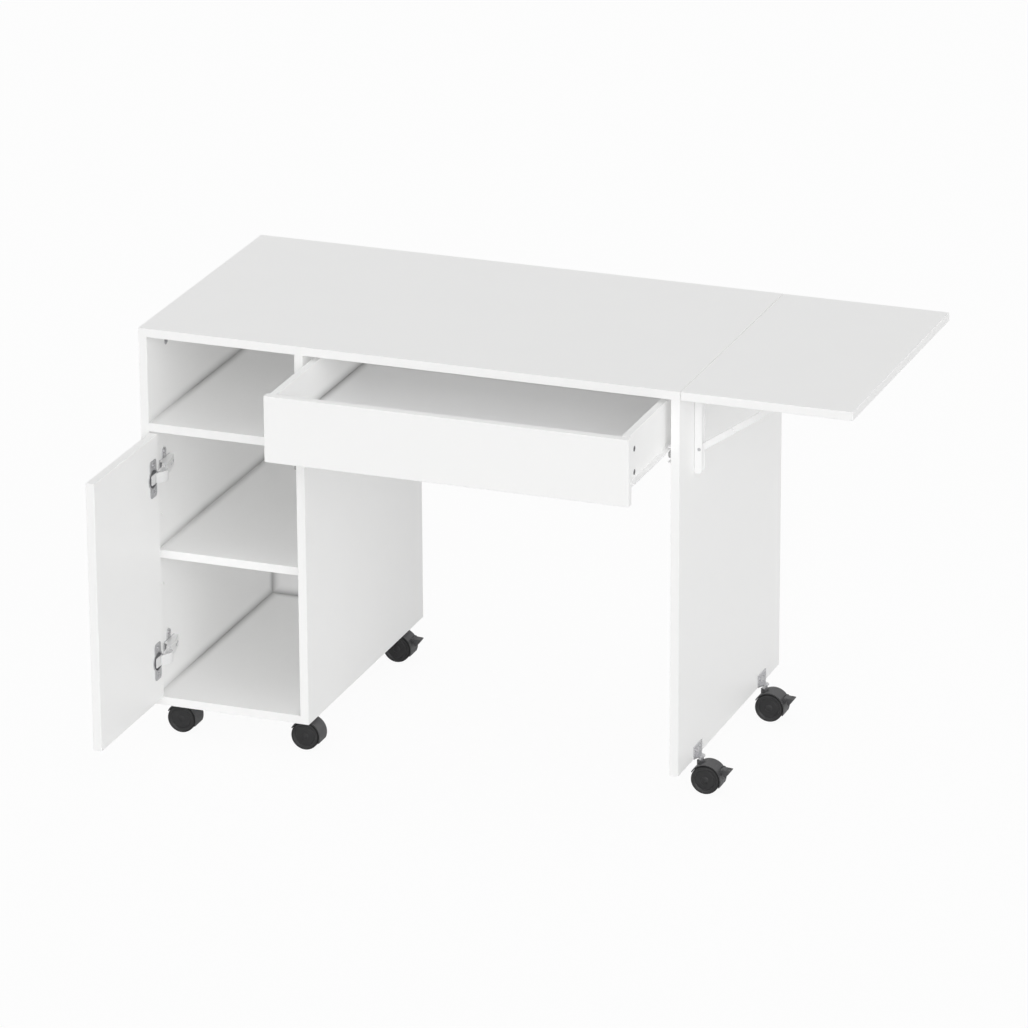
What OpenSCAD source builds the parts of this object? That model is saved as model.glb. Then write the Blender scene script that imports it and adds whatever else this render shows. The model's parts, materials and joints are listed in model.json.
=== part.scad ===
// Folding desk on casters. A cabinet with an open cubby and a hinged door stands at the left,
// a panel leg at the right, a drawer hangs between them, and a leaf folds down at the right end.
// Lengths are in millimetres. X runs along the desk, Y from front to back, and Z up from the floor.
// Pieces are drawn from the left front corner of the cabinet, and place() moves them so that the
// origin lies on the floor under the middle of the desk as it stands open.

/* [Desk] */
// Length of the fixed worktop
top_l = 960; // [900:1:1100]
// Depth of the desk from front to back
desk_d = 535; // [500:1:600]
// Height of the worktop above the floor
desk_h = 739; // [710:1:780]
// Thickness of the boards
board = 15; // [14.5:0.5:18]
// Length of the folding leaf
leaf_l = 294; // [260:1:340]
// Gap between the worktop and the leaf
seam = 1; // [0.6:0.1:1.5]

/* [Cabinet] */
// Outer width of the cabinet
cab_w = 297; // [270:1:340]
// Clear height of the open cubby
cubby_h = 152.5; // [120:0.5:180]
// Clear height below the loose shelf
shelf_h = 246; // [200:1:280]
// Distance of the shelf behind the front edges
shelf_setback = 20; // [17:1:40]
// Play between the shelf and the panel at each end
shelf_play = 2; // [1.6:0.1:3]
// Height of the rail behind the drawer
rail_h = 160; // [120:1:200]
// Distance of the back panel and the rail from the back edges
back_inset = 12; // [8:1:20]
// Thickness of the back panel
back_t = 3; // [2:0.5:5]
// Depth of the grooves that hold the back panel
back_groove = 6; // [4:0.5:8]
// Depth of the groove clearance round a thin panel
panel_play = 0.2; // [0.1:0.1:0.4]

/* [Board joints] */
// Diameter of a cam lock
cam_d = 15; // [12:0.5:16]
// Board left behind a cam lock
cam_skin = 3; // [2:0.5:4]
// Distance from a cam lock to the board that it draws up
cam_back = 31; // [28:1:36]
// Distance of the worktop's cam locks from the front and back edges
cam_inset = 80; // [60:1:100]
// Distance of the bottom panel's cam locks from its front and back edges
bottom_cam_inset = 110; // [95:1:130]
// Distance of the rail's cam locks from its top and bottom edges
rail_cam_inset = 40; // [30:1:50]
// Diameter of a cam bolt
cam_bolt_d = 6; // [5:0.5:7]
// Length of a cam bolt inside the board that it draws up
cam_bolt_bite = 9; // [7:0.5:11]
// Play round a fastener in its hole
fastener_play = 0.1; // [0.05:0.05:0.2]
// Diameter of a shelf support's plug
pin_d = 5; // [4:0.5:6]
// Depth of a shelf support's hole
pin_depth = 9; // [7:0.5:11]
// Spacing between the rows of shelf holes
pin_pitch = 64; // [32:32:64]
// Distance of the shelf holes from the cabinet's front and from its back panel
pin_inset = 45; // [37:1:60]
// Height of a support's plug above the underside of the shelf
pin_rise = 8; // [6:0.5:10]

/* [Door] */
// Gap round the door at the hinges, the top and the bottom
door_gap = 2; // [1.5:0.1:3]
// Gap between the door and the middle panel
door_lock_gap = 3; // [2:0.1:4]
// Distance of the open door from the side panel's inner face
door_clear = 1; // [0.6:0.1:2]
// Distance of the open door's hinge edge in front of the cabinet
door_front = 2; // [1:0.1:3]
// Distance of the hinges from the top and bottom of the door
hinge_inset = 73; // [60:1:90]
// Diameter of a hinge cup
cup_d = 35; // [33:0.5:36]
// Depth of a hinge cup
cup_t = 11.5; // [10:0.5:12]
// Distance from a cup's centre to the hinge edge
cup_inset = 22.5; // [21.5:0.5:24]
// Height of the flange round a hinge cup
flange_h = 67; // [60:1:72]
// Thickness of the hinge's sheet metal
hinge_sheet = 1.2; // [1:0.1:1.4]
// Outer width of a hinge arm
hinge_arm_w = 19; // [16:0.5:20]
// Height of the hinge pin above the side panel
hinge_pin_x = 15; // [14.5:0.5:16]
// Distance of the hinge pin behind the cabinet's front
hinge_pin_y = 22.5; // [22:0.5:24]
// Length of a hinge arm behind its pin
hinge_arm_l = 56; // [50:1:64]
// Length of a hinge link between its pin and its tip
hinge_link_l = 28.7; // [27:0.1:29]
// Angle of a hinge link at the open door
hinge_link_a = 82; // [80:0.5:84]
// Depth of the door catch along the middle panel
catch_d = 14; // [10:1:20]
// Distance from the catch to the underside of the cubby
catch_drop = 36; // [28:1:50]

/* [Drawer] */
// Height of the drawer front
front_h = 115; // [105:1:130]
// Gap above the drawer front
front_top_gap = 8; // [3:0.5:12]
// Gap at each end of the drawer front
front_side_gap = 7; // [6.5:0.5:9]
// Distance that the drawer stands open
drawer_out = 187; // [100:1:240]
// Length of the drawer box behind its front
box_l = 400; // [350:1:440]
// Height of the drawer box's sides
side_h = 89; // [76:1:92]
// Distance of the sides' top edges below the front's
side_drop = 0; // [0:0.5:8]
// Thickness of the drawer box's sides and back
side_t = 12; // [11:0.5:14]
// Thickness of the drawer bottom
bottom_t = 3; // [2.5:0.5:4]
// Height of the drawer bottom above the sides' lower edges
bottom_rise = 16; // [8:0.5:18]
// Depth of the grooves that hold the drawer bottom
bottom_groove = 3; // [2:0.5:3.5]
// Diameter of the cam locks in the drawer's sides
drawer_cam_d = 10; // [8:0.5:12]
// Depth of the cam locks in the drawer's sides
drawer_cam_t = 8; // [6:0.5:8.5]
// Height of the drawer's lower cam locks above the drawer bottom's underside
drawer_cam_rise = 3.3; // [0:0.1:6]
// Distance of the drawer's cam locks from its front
drawer_cam_back = 29; // [24:1:34]
// Distance between the drawer's two cam locks at one end
drawer_cam_pitch = 40; // [32:1:48]

/* [Runners] */
// Space for a runner between the drawer box and a panel
runner_gap = 12.5; // [11.5:0.1:13]
// Height of a runner channel
channel_h = 28; // [26:0.5:32]
// Thickness of the runners' sheet metal
runner_sheet = 1.2; // [1:0.1:1.5]
// Diameter of a runner's roller
roller_d = 16; // [14:0.5:17]
// Diameter of a roller's pin
roller_pin_d = 4; // [3:0.5:5]
// Height of the drawer rail's lip above the sides' lower edges
lip_rise = 8.3; // [4:0.1:10]
// Gap between a roller and its track
roller_play = 0.2; // [0.1:0.1:0.4]
// Distance of the runner channels behind the front
channel_setback = 2; // [1:0.5:6]
// Running play between the drawer's parts and the runner channels
runner_play = 0.6; // [0.4:0.1:1]

/* [Leaf brackets] */
// Distance of each bracket's middle from the front and back edges
bracket_inset = 81; // [70:1:110]
// Depth of a bracket arm's channel
arm_d = 14; // [13:0.5:16]
// Outer width of the wall arm
wall_arm_w = 18.4; // [17:0.2:22]
// Thickness of the brackets' sheet metal
arm_sheet = 1.5; // [1.2:0.1:2]
// Side play between the nested arms
arm_play = 0.3; // [0.3:0.05:0.6]
// Distance of the arms' pivots from their mounting faces
arm_pivot = 9; // [8:0.5:10]
// Length of the wall arm below the worktop
wall_arm_l = 150; // [146:1:160]
// Distance from the corner pivot down to the brace's lower pivot
brace_drop = 99; // [90:1:110]
// Distance from the corner pivot along the leaf to the brace's upper pivot
brace_reach = 148; // [145:1:165]
// Length of the leaf arm past the brace's upper pivot
leaf_arm_over = 12; // [8:1:20]
// Radius of the rounded ears and link ends
ear_r = 5; // [4.5:0.1:5.5]
// Diameter of the brackets' pivot pins
pivot_d = 6; // [5:0.5:7]
// Thickness of a brace link
link_t = 3; // [2.5:0.1:3.5]
// Gap between two brace links
link_play = 0.4; // [0.3:0.1:0.6]
// Running clearance round every pivot pin
pivot_play = 0.05; // [0.03:0.01:0.1]

/* [Casters] */
// Diameter of a caster wheel
wheel_d = 50; // [46:1:56]
// Width of one of the two wheels of a caster
wheel_w = 16; // [13:0.5:18]
// Distance from a caster's stem to its wheel axle
trail = 12.5; // [11:0.5:15]
// Thickness of the web between the wheels
web_t = 4.4; // [4:0.1:6]
// Side play between a wheel and the web
wheel_play = 0.4; // [0.3:0.1:0.6]
// Gap between a wheel's tread and the hood
hood_play = 0.8; // [0.6:0.1:1.5]
// Thickness of the hood
hood_t = 1.7; // [1.5:0.1:3]
// Diameter of the wheel axle
axle_d = 6; // [5:0.5:8]
// Height of the hood's neck above the hood
neck_h = 0.8; // [0.6:0.1:3]
// Height of the swivel collar between the hood and the plate
collar_h = 4.7; // [3:0.1:12]
// Diameter of a caster's stem
stem_d = 8; // [6:0.5:9]
// Diameter of the hood's neck round the stem
neck_d = 14; // [12.5:0.5:16]
// Thickness of the cabinet's caster plates
plate_t = 3; // [2:0.5:4]
// Side of a square caster plate
plate_w = 38; // [34:1:42]
// Distance of the cabinet's casters from its side faces
cab_caster_x = 34; // [30:1:40]
// Distance of the cabinet's front casters from its front
cab_caster_y = 50; // [44:1:64]
// Distance of the cabinet's back casters from the worktop's back edge
cab_caster_back = 58; // [50:1:64]
// Distance of the leg's caster stems outside the leg
leg_caster_x = 7; // [7:0.5:12]
// Distance of the leg's casters from its front and back
leg_caster_y = 98; // [70:1:110]
// Height of a leg caster bracket's upright plate
leg_plate_h = 22; // [18:1:30]
// Width of a leg caster bracket
leg_plate_w = 40; // [34:1:46]
// Diameter of a leg caster's collar
leg_collar_d = 9; // [8:0.5:11]
// Width of a brake lever
lever_w = 16; // [12:1:20]
// Length of a brake lever past its pivot
lever_l = 16; // [12:1:20]

/* [Hidden] */

$fn = 48;

// Colours as the desk shows them
laminate = [0.93, 0.93, 0.93];
back_board = [0.88, 0.88, 0.88];
white_metal = [0.92, 0.92, 0.92];
zinc = [0.62, 0.62, 0.63];
steel = [0.72, 0.72, 0.74];
dark_zinc = [0.38, 0.38, 0.39];
black_nylon = [0.16, 0.16, 0.16];
roller_nylon = [0.45, 0.45, 0.45];

// A cut reaches this far past the surface that it opens
cut = 1;

// Levels set by the casters
wheel_r = wheel_d / 2;
hood_in = wheel_r + hood_play;
hood_r = hood_in + hood_t;
neck_top = wheel_r + hood_r + neck_h;
under_z = neck_top + collar_h + plate_t;

// Levels and faces of the case
top_under = desk_h - board;
floor_under = top_under - cubby_h - board;
bottom_top = under_z + board;
shelf_z = bottom_top + shelf_h;
back_y = desk_d - back_inset - back_t;
rail_y = desk_d - back_inset - board;
divider_x = cab_w - board;
leg_x = top_l - board;
total_l = top_l + seam + leaf_l;

// Cam locks: a point on the board's face, the way out of that face, and the way of the bolt
cam_t = board - cam_skin;
left = [-1, 0, 0];
right = [1, 0, 0];
up = [0, 0, 1];
down = [0, 0, -1];
backward = [0, 1, 0];
cam_xs = [[board + cam_back, left], [divider_x - cam_back, right]];
top_joints = [for (y = [cam_inset, desk_d - cam_inset]) each [
    [[board, y, top_under - cam_back], right, up],
    [[divider_x, y, top_under - cam_back], left, up],
    [[leg_x, y, top_under - cam_back], left, up]]];
floor_joints = [for (y = [cam_inset, back_y - cam_inset], c = cam_xs) [[c[0], y, floor_under], down, c[1]]];
bottom_joints = [for (y = [bottom_cam_inset, back_y - bottom_cam_inset], c = cam_xs)
    [[c[0], y, under_z], down, c[1]]];
rail_joints = [for (z = [top_under - rail_cam_inset, top_under - rail_h + rail_cam_inset],
    c = [[cab_w + cam_back, left], [leg_x - cam_back, right]]) [[c[0], rail_y + board, z], backward, c[1]]];
all_joints = concat(top_joints, floor_joints, bottom_joints, rail_joints);

// Shelf supports
pin_ys = [pin_inset, back_y - pin_inset];
support_w = 14;
support_t = 1.2;
support_l = 12;
support_h = 12;

// Door: it is drawn closed and turned open about its pole
hinge_x = board + door_gap;
door_w = divider_x - door_lock_gap - hinge_x;
door_z = bottom_top + door_gap;
door_h = floor_under - door_gap - door_z;
door_open_x = board + door_clear;
door_turn = hinge_x - door_front;
door_pole = [(door_open_x + door_turn) / 2, (door_turn - door_open_x) / 2];
door_reach = door_w + door_front;
hinge_zs = [door_z + hinge_inset, door_z + door_h - hinge_inset];
cup_wall = 1.5;
cup_x = hinge_x + cup_inset;
flange_w = 26;
flange_r = 6;
flange_hole_in = 9.5;
lid_w = 18;
lid_l = 27;
lid_rise = 3;
hinge_pin = [board + hinge_pin_x, hinge_pin_y];
hinge_pin_d = 3;
hinge_eye_r = 3.2;
hinge_link_t = 3;
hinge_side_play = 0.3;
hinge_plate_y = hinge_pin_y + 31;
hinge_plate_w = 14;
hinge_plate_h = 56;
hinge_plate_t = 2.2;

// Drawer: it is drawn closed and pulled out by drawer_out
front_x = cab_w + front_side_gap;
front_w = leg_x - front_side_gap - front_x;
front_z = top_under - front_top_gap - front_h;
side_z = front_z + front_h - side_drop - side_h;
box_x = [cab_w + runner_gap, leg_x - runner_gap];
box_in = [box_x[0] + side_t, box_x[1] - side_t];
box_back = board + box_l;
drawer_bottom_z = side_z + bottom_rise;
drawer_cam_z = drawer_bottom_z + drawer_cam_rise;

// Runners
channel_d = front_side_gap - runner_play;
lip_z = side_z + lip_rise;
roller_z = lip_z - roller_play - roller_d / 2;
channel_z = roller_z - channel_h / 2;
roller_w = channel_d - runner_sheet - runner_play;
rear_roller_z = channel_z + runner_sheet + roller_play + roller_d / 2;
front_roller_y = channel_setback + roller_d / 2 + 2;
rear_roller_y = box_back - roller_d / 2 - 2;

// Leaf brackets
leaf_x = top_l + seam;
corner_x = top_l + arm_pivot;
corner_z = top_under - arm_pivot;
bracket_ys = [bracket_inset, desk_d - bracket_inset];
leaf_arm_w = wall_arm_w + 2 * (arm_play + arm_sheet);
brace_l = norm([brace_drop, brace_reach]);
brace_a = atan2(brace_drop, brace_reach);
lower_link_l = (brace_l - (brace_reach - brace_drop)) / 2;
upper_link_l = brace_l - lower_link_l;
arm_tip = 6;
arm_bend = 2;
rivet_head = 1.5;
pin_head = 1.2;
pin_head_play = 0.15;

// Casters
hood_w = 2 * (web_t / 2 + wheel_play + wheel_w) - 4;
stem_tip = wheel_r + sqrt(hood_r * hood_r - trail * trail) + 0.6;
collar_gap = 0.3;
lever_a = 33;
lever_hub_r = 2.4;
lever_pin_d = 3;
lever_r = hood_r + lever_hub_r + 0.5;
lever_t = 1.8;
lever_drop = 11;
lever_play = 0.3;
lever_at = [trail + lever_r * cos(lever_a), wheel_r + lever_r * sin(lever_a)];
caster_at = [
    [cab_caster_x, cab_caster_y], [cab_w - cab_caster_x, cab_caster_y],
    [cab_caster_x, desk_d - cab_caster_back], [cab_w - cab_caster_x, desk_d - cab_caster_back],
    [top_l + leg_caster_x, leg_caster_y], [top_l + leg_caster_x, desk_d - leg_caster_y]];
leg_sheet = 2;
leg_tongue = 7;

// Shared shapes

// Moves the drawing from the cabinet's corner to the middle of the desk
module place() {
    translate([-total_l / 2, -(desk_d - door_reach) / 2, 0]) children();
}

module box(low, high) {
    translate(low) cube(high - low);
}

// A rod along an axis of the desk, from one coordinate on that axis to another
module rod_x(x0, x1, y, z, r) {
    translate([x0, y, z]) rotate([0, 90, 0]) cylinder(r = r, h = x1 - x0);
}

module rod_y(x, y0, y1, z, r) {
    translate([x, y1, z]) rotate([90, 0, 0]) cylinder(r = r, h = y1 - y0);
}

// An outline in the X and Z directions, drawn out along Y
module slab_y(y0, y1) {
    translate([0, y1, 0]) rotate([90, 0, 0]) linear_extrude(y1 - y0) children();
}

// A bar with round ends from the origin along X
module link_outline(l, r) {
    circle(r);
    translate([l, 0]) circle(r);
    translate([0, -r]) square([l, 2 * r]);
}

// Board joints

module at_joint(j) {
    n = j[1];
    b = j[2];
    s = cross(n, b);
    multmatrix([
        [b.x, s.x, n.x, j[0].x],
        [b.y, s.y, n.y, j[0].y],
        [b.z, s.z, n.z, j[0].z]]) children();
}

module joint_cuts(joints) {
    for (j = joints) at_joint(j) {
        translate([0, 0, -cam_t]) cylinder(d = cam_d, h = cam_t + cut);
        translate([0, 0, -board / 2]) rotate([0, 90, 0])
            cylinder(d = cam_bolt_d + 2 * fastener_play, h = cam_back + cam_bolt_bite);
    }
}

module cam_locks() {
    slot_l = cam_d * 0.55;
    slot_w = cam_d * 0.12;
    slot_t = 2;
    color(zinc) place() for (j = all_joints) at_joint(j) difference() {
        translate([0, 0, -cam_t]) cylinder(r = cam_d / 2 - fastener_play, h = cam_t);
        for (a = [0, 90]) rotate([0, 0, a + 45])
            translate([-slot_l / 2, -slot_w / 2, -slot_t]) cube([slot_l, slot_w, slot_t + cut]);
    }
}

module cam_bolts() {
    start = cam_d / 2 + fastener_play;
    color(steel) place() for (j = all_joints) at_joint(j)
        translate([start, 0, -board / 2]) rotate([0, 90, 0])
            cylinder(d = cam_bolt_d, h = cam_back + cam_bolt_bite - start - fastener_play);
}

// Case boards

module top_panel() {
    color(laminate) place() difference() {
        box([0, 0, top_under], [top_l, desk_d, desk_h]);
        joint_cuts(top_joints);
    }
}

module back_grooves() {
    y0 = back_y - panel_play;
    y1 = back_y + back_t + panel_play;
    box([board - back_groove, y0, under_z - cut], [divider_x + back_groove, y1, top_under + cut]);
}

module shelf_holes() {
    for (y = pin_ys, k = [-1, 0, 1])
        rod_x(board - pin_depth, divider_x + pin_depth, y, shelf_z + pin_rise + k * pin_pitch,
            pin_d / 2 + fastener_play);
}

module upright(x) {
    box([x, 0, under_z], [x + board, desk_d, top_under]);
}

module left_side_panel() {
    color(laminate) place() difference() {
        upright(0);
        joint_cuts(concat(top_joints, floor_joints, bottom_joints));
        back_grooves();
        shelf_holes();
    }
}

module divider_panel() {
    color(laminate) place() difference() {
        upright(divider_x);
        joint_cuts(all_joints);
        back_grooves();
        shelf_holes();
    }
}

module right_leg_panel() {
    color(laminate) place() difference() {
        upright(leg_x);
        joint_cuts(concat(top_joints, rail_joints));
    }
}

module cubby_floor() {
    color(laminate) place() difference() {
        box([board, 0, floor_under], [divider_x, back_y, floor_under + board]);
        joint_cuts(floor_joints);
    }
}

module bottom_panel() {
    color(laminate) place() difference() {
        box([board, 0, under_z], [divider_x, back_y, bottom_top]);
        joint_cuts(bottom_joints);
    }
}

module back_panel() {
    reach = back_groove - panel_play;
    color(back_board) place()
        box([board - reach, back_y, under_z], [divider_x + reach, back_y + back_t, top_under]);
}

module rear_rail() {
    color(laminate) place() difference() {
        box([cab_w, rail_y, top_under - rail_h], [leg_x, rail_y + board, top_under]);
        joint_cuts(rail_joints);
    }
}

module adjustable_shelf() {
    color(laminate) place()
        box([board + shelf_play, shelf_setback, shelf_z],
            [divider_x - shelf_play, back_y - shelf_play, shelf_z + board]);
}

// An angle whose plug sits in the side and whose foot carries the shelf
module shelf_support() {
    translate([0, -support_w / 2, -support_t]) cube([support_t, support_w, support_h + support_t]);
    translate([0, -support_w / 2, -support_t]) cube([support_l, support_w, support_t]);
    rod_x(-pin_depth + fastener_play, support_t, 0, pin_rise, pin_d / 2);
}

module shelf_supports() {
    color(steel) place() for (y = pin_ys) {
        translate([board, y, shelf_z]) shelf_support();
        translate([divider_x, y, shelf_z]) mirror([1, 0, 0]) shelf_support();
    }
}

// Door and hinges

// Turns what is drawn on the closed door to the open door
module door_frame() {
    translate(door_pole) rotate([0, 0, -90]) translate(-door_pole) children();
}

// Puts what is drawn at a cup's mouth, with +Z out of the door, at both cups
module at_cups() {
    for (z = hinge_zs) translate([cup_x, board, z]) rotate([-90, 0, 0]) children();
}

module cabinet_door() {
    color(laminate) place() door_frame() difference() {
        box([hinge_x, 0, door_z], [hinge_x + door_w, board, door_z + door_h]);
        at_cups() translate([0, 0, -cup_t - fastener_play])
            cylinder(d = cup_d + 2 * fastener_play, h = cup_t + cut);
    }
}

module hinge_cup() {
    side = flange_w / 2 - flange_r;
    tip = flange_h / 2 - flange_r;
    ear = flange_h / 2 - flange_hole_in;
    inner = cup_d / 2 - cup_wall;
    difference() {
        union() {
            translate([0, 0, -cup_t]) cylinder(d = cup_d, h = cup_t);
            linear_extrude(hinge_sheet) {
                circle(d = cup_d + 2 * cup_wall);
                translate([-side, -tip - flange_r]) square([2 * side, 2 * (tip + flange_r)]);
                translate([-side - flange_r, -tip]) square([2 * (side + flange_r), 2 * tip]);
                for (x = [-side, side], y = [-tip, tip]) translate([x, y]) circle(flange_r);
            }
        }
        translate([0, 0, -cup_t + cup_wall]) cylinder(r = inner, h = cup_t + cut + hinge_sheet);
        for (s = [-1, 1]) translate([0, s * ear, -cut]) cylinder(d = 5, h = hinge_sheet + 2 * cut);
    }
    intersection() {
        translate([-inner - cup_wall / 2, -lid_w / 2, -cup_t + cup_wall / 2])
            cube([lid_l, lid_w, cup_t - cup_wall / 2 + lid_rise]);
        translate([0, 0, -cup_t]) cylinder(r = inner + cup_wall / 2, h = cup_t + lid_rise);
    }
}

module hinge_cups() {
    color(zinc) place() door_frame() at_cups() hinge_cup();
}

// The outline of a hinge arm in the X and Y directions, from its pin to its tail
module hinge_arm_outline(lid) {
    x0 = board + hinge_plate_t;
    px = hinge_pin.x;
    py = hinge_pin.y;
    tail = py + hinge_arm_l;
    polygon([[px - hinge_eye_r, py], [px - hinge_eye_r - 2, py + 8], [x0, py + 14], [x0, tail],
        [px - 5 - lid, tail], [px + 2 - lid, py + 26], [px + hinge_eye_r - lid, py + 14],
        [px + hinge_eye_r - lid, py]]);
}

module hinge_arms() {
    inner_w = hinge_arm_w - 2 * hinge_sheet;
    open_l = hinge_eye_r + 1.5;
    color(steel) place() for (z = hinge_zs) translate([0, 0, z]) {
        difference() {
            translate([0, 0, -hinge_arm_w / 2]) linear_extrude(hinge_arm_w) {
                hinge_arm_outline(0);
                translate(hinge_pin) circle(hinge_eye_r);
            }
            translate([0, 0, -inner_w / 2]) linear_extrude(inner_w) {
                difference() {
                    hinge_arm_outline(hinge_sheet);
                    translate([board, hinge_pin.y + hinge_arm_l - hinge_sheet]) square([20, 10]);
                }
                translate(hinge_pin - [hinge_eye_r + cut, hinge_eye_r + cut])
                    square([2 * (hinge_eye_r + cut), hinge_eye_r + cut + open_l]);
            }
        }
        translate([hinge_pin.x, hinge_pin.y, -hinge_arm_w / 2]) cylinder(d = hinge_pin_d, h = hinge_arm_w);
    }
}

module hinge_links() {
    w = hinge_arm_w - 2 * hinge_sheet - 2 * hinge_side_play;
    color(steel) place() for (z = hinge_zs) translate([hinge_pin.x, hinge_pin.y, z - w / 2]) difference() {
        linear_extrude(w) rotate([0, 0, -hinge_link_a]) {
            circle(hinge_eye_r);
            link_outline(hinge_link_l - hinge_link_t / 2, hinge_link_t / 2);
        }
        translate([0, 0, -cut]) cylinder(d = hinge_pin_d + 2 * pivot_play, h = w + 2 * cut);
    }
}

module hinge_plates() {
    half = hinge_plate_h / 2 - hinge_plate_w / 2;
    body_l = hinge_arm_l - 14;
    color(steel) place() for (z = hinge_zs) translate([board, hinge_plate_y, z]) rotate([90, 0, 90])
        linear_extrude(hinge_plate_t) difference() {
            union() {
                translate([-15, -hinge_arm_w / 2]) square([body_l, hinge_arm_w]);
                for (s = [-1, 1]) rotate([0, 0, -s * 12]) translate([0, s * half / 2])
                    square([hinge_plate_w, half], center = true);
                for (s = [-1, 1]) rotate([0, 0, -s * 12]) translate([0, s * half]) circle(d = hinge_plate_w);
            }
            for (s = [-1, 1]) rotate([0, 0, -s * 12]) translate([0, s * half]) circle(d = 5);
        }
}

module door_catch() {
    catch_h = 14;
    catch_w = 10;
    foot_h = 26;
    foot_t = 1.5;
    y0 = board + 2;
    z0 = floor_under - catch_drop;
    color(roller_nylon) place() difference() {
        union() {
            box([divider_x - catch_w, y0, z0 - catch_h / 2], [divider_x, y0 + catch_d, z0 + catch_h / 2]);
            box([divider_x - foot_t, y0 + 2, z0 - foot_h / 2], [divider_x, y0 + catch_d - 2, z0 + foot_h / 2]);
        }
        box([divider_x - catch_w + 2, y0 - cut, z0 - 2], [divider_x - 3, y0 + 1.5, z0 + 2]);
    }
}

// Leaf and folding brackets

module drop_leaf() {
    color(laminate) place() box([leaf_x, 0, top_under], [leaf_x + leaf_l, desk_d, desk_h]);
}

// Puts what is drawn round the corner pivot, in the X and Z directions, at both brackets
module at_brackets() {
    for (y = bracket_ys) translate([corner_x, y, corner_z]) children();
}

// Cuts the bend between an arm's web and its cheeks, along Z
module bend_cut(x, y, z0, z1) {
    translate([x, y, (z0 + z1) / 2]) rotate([0, 0, 45])
        cube([arm_bend * sqrt(2), arm_bend * sqrt(2), z1 - z0], center = true);
}

module wall_arm() {
    low = arm_pivot - wall_arm_l;
    tip = arm_tip;
    half = wall_arm_w / 2;
    difference() {
        slab_y(-half, half) {
            circle(ear_r);
            translate([-arm_pivot, 0]) square([arm_pivot, ear_r]);
            translate([-arm_pivot, low + tip]) square([arm_d, -low - tip]);
            translate([-arm_pivot, low]) square([arm_d - tip, tip + cut]);
            translate([arm_d - arm_pivot - tip, low + tip]) circle(tip);
        }
        slab_y(-half + arm_sheet, half - arm_sheet)
            translate([-arm_pivot + arm_sheet, low - cut]) square([arm_d, wall_arm_l + cut]);
        for (s = [-1, 1]) bend_cut(-arm_pivot, s * half, low - cut, ear_r + cut);
        rod_y(0, -half - cut, half + cut, 0, pivot_d / 2);
        rod_y(0, -half - cut, 0, -brace_drop, pivot_d / 2);
    }
}

module bracket_wall_arms() {
    color(white_metal) place() at_brackets() wall_arm();
}

module bracket_pivot_pins() {
    half = leaf_arm_w / 2 + pin_head_play;
    color(zinc) place() at_brackets() {
        rod_y(0, -half, half, 0, pivot_d / 2);
        rod_y(0, half, half + pin_head, 0, ear_r - 0.6);
        rod_y(0, -half - pin_head, -half, 0, ear_r - 0.6);
        rod_y(0, -wall_arm_w / 2, -link_play / 2, -brace_drop, pivot_d / 2);
    }
}

module leaf_arm() {
    half = leaf_arm_w / 2;
    end = brace_reach + leaf_arm_over;
    tip = arm_tip;
    difference() {
        slab_y(-half, half) {
            circle(ear_r);
            translate([-ear_r, 0]) square([ear_r, arm_pivot]);
            translate([0, -ear_r]) square([end - tip, arm_d]);
            translate([0, arm_pivot - tip]) square([end, tip]);
            translate([end - tip, arm_pivot - arm_d + tip]) circle(tip);
        }
        slab_y(-half + arm_sheet, half - arm_sheet)
            translate([-ear_r - cut, -arm_d]) square([end + 2 * cut + ear_r, arm_d + arm_pivot - arm_sheet]);
        for (s = [-1, 1]) rotate([0, 90, 0]) bend_cut(-arm_pivot, s * half, -ear_r - cut, end + cut);
        rod_y(0, -half - cut, half + cut, 0, pivot_d / 2 + pivot_play);
        rod_y(brace_reach, 0, half + cut, 0, pivot_d / 2);
    }
}

module bracket_leaf_arms() {
    color(white_metal) place() at_brackets() leaf_arm();
}

module bracket_leaf_pins() {
    half = leaf_arm_w / 2;
    color(zinc) place() at_brackets() {
        rod_y(brace_reach, link_play / 2, half, 0, pivot_d / 2);
        rod_y(brace_reach, half, half + pin_head, 0, ear_r - 0.6);
    }
}

// A brace link along X from its pivot, with the knuckle's rivet head on its outer side
module brace_link(l, side) {
    y0 = side * (link_play / 2 + link_t / 2) - link_t / 2;
    head_y = side > 0 ? y0 + link_t : y0 - rivet_head;
    difference() {
        slab_y(y0, y0 + link_t) link_outline(l, ear_r);
        rod_y(0, y0 - cut, y0 + link_t + cut, 0, pivot_d / 2 + pivot_play);
    }
    rod_y(l, head_y, head_y + rivet_head, 0, pivot_d / 2 + 1);
}

module brace_lower_links() {
    color(white_metal) place() at_brackets()
        translate([0, 0, -brace_drop]) rotate([0, -brace_a, 0]) brace_link(lower_link_l, -1);
}

module brace_upper_links() {
    color(white_metal) place() at_brackets()
        translate([brace_reach, 0, 0]) rotate([0, 180 - brace_a, 0]) brace_link(upper_link_l, 1);
}

// Drawer and runners

module drawer_frame() {
    translate([0, -drawer_out, 0]) children();
}

// Puts what is drawn for the left side, from the box's outer face, at both sides
module at_box_sides() {
    translate([box_x[0], 0, 0]) children();
    translate([box_x[1], 0, 0]) mirror([1, 0, 0]) children();
}

// Puts what is drawn for the left side, from the panel's face, at both panels
module at_runner_faces() {
    translate([cab_w, 0, 0]) children();
    translate([leg_x, 0, 0]) mirror([1, 0, 0]) children();
}

module drawer_bottom_board(play) {
    reach = bottom_groove - play;
    box([box_in[0] - reach, board - reach, drawer_bottom_z - (bottom_groove - reach)],
        [box_in[1] + reach, box_back, drawer_bottom_z + bottom_t + (bottom_groove - reach)]);
}

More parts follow.
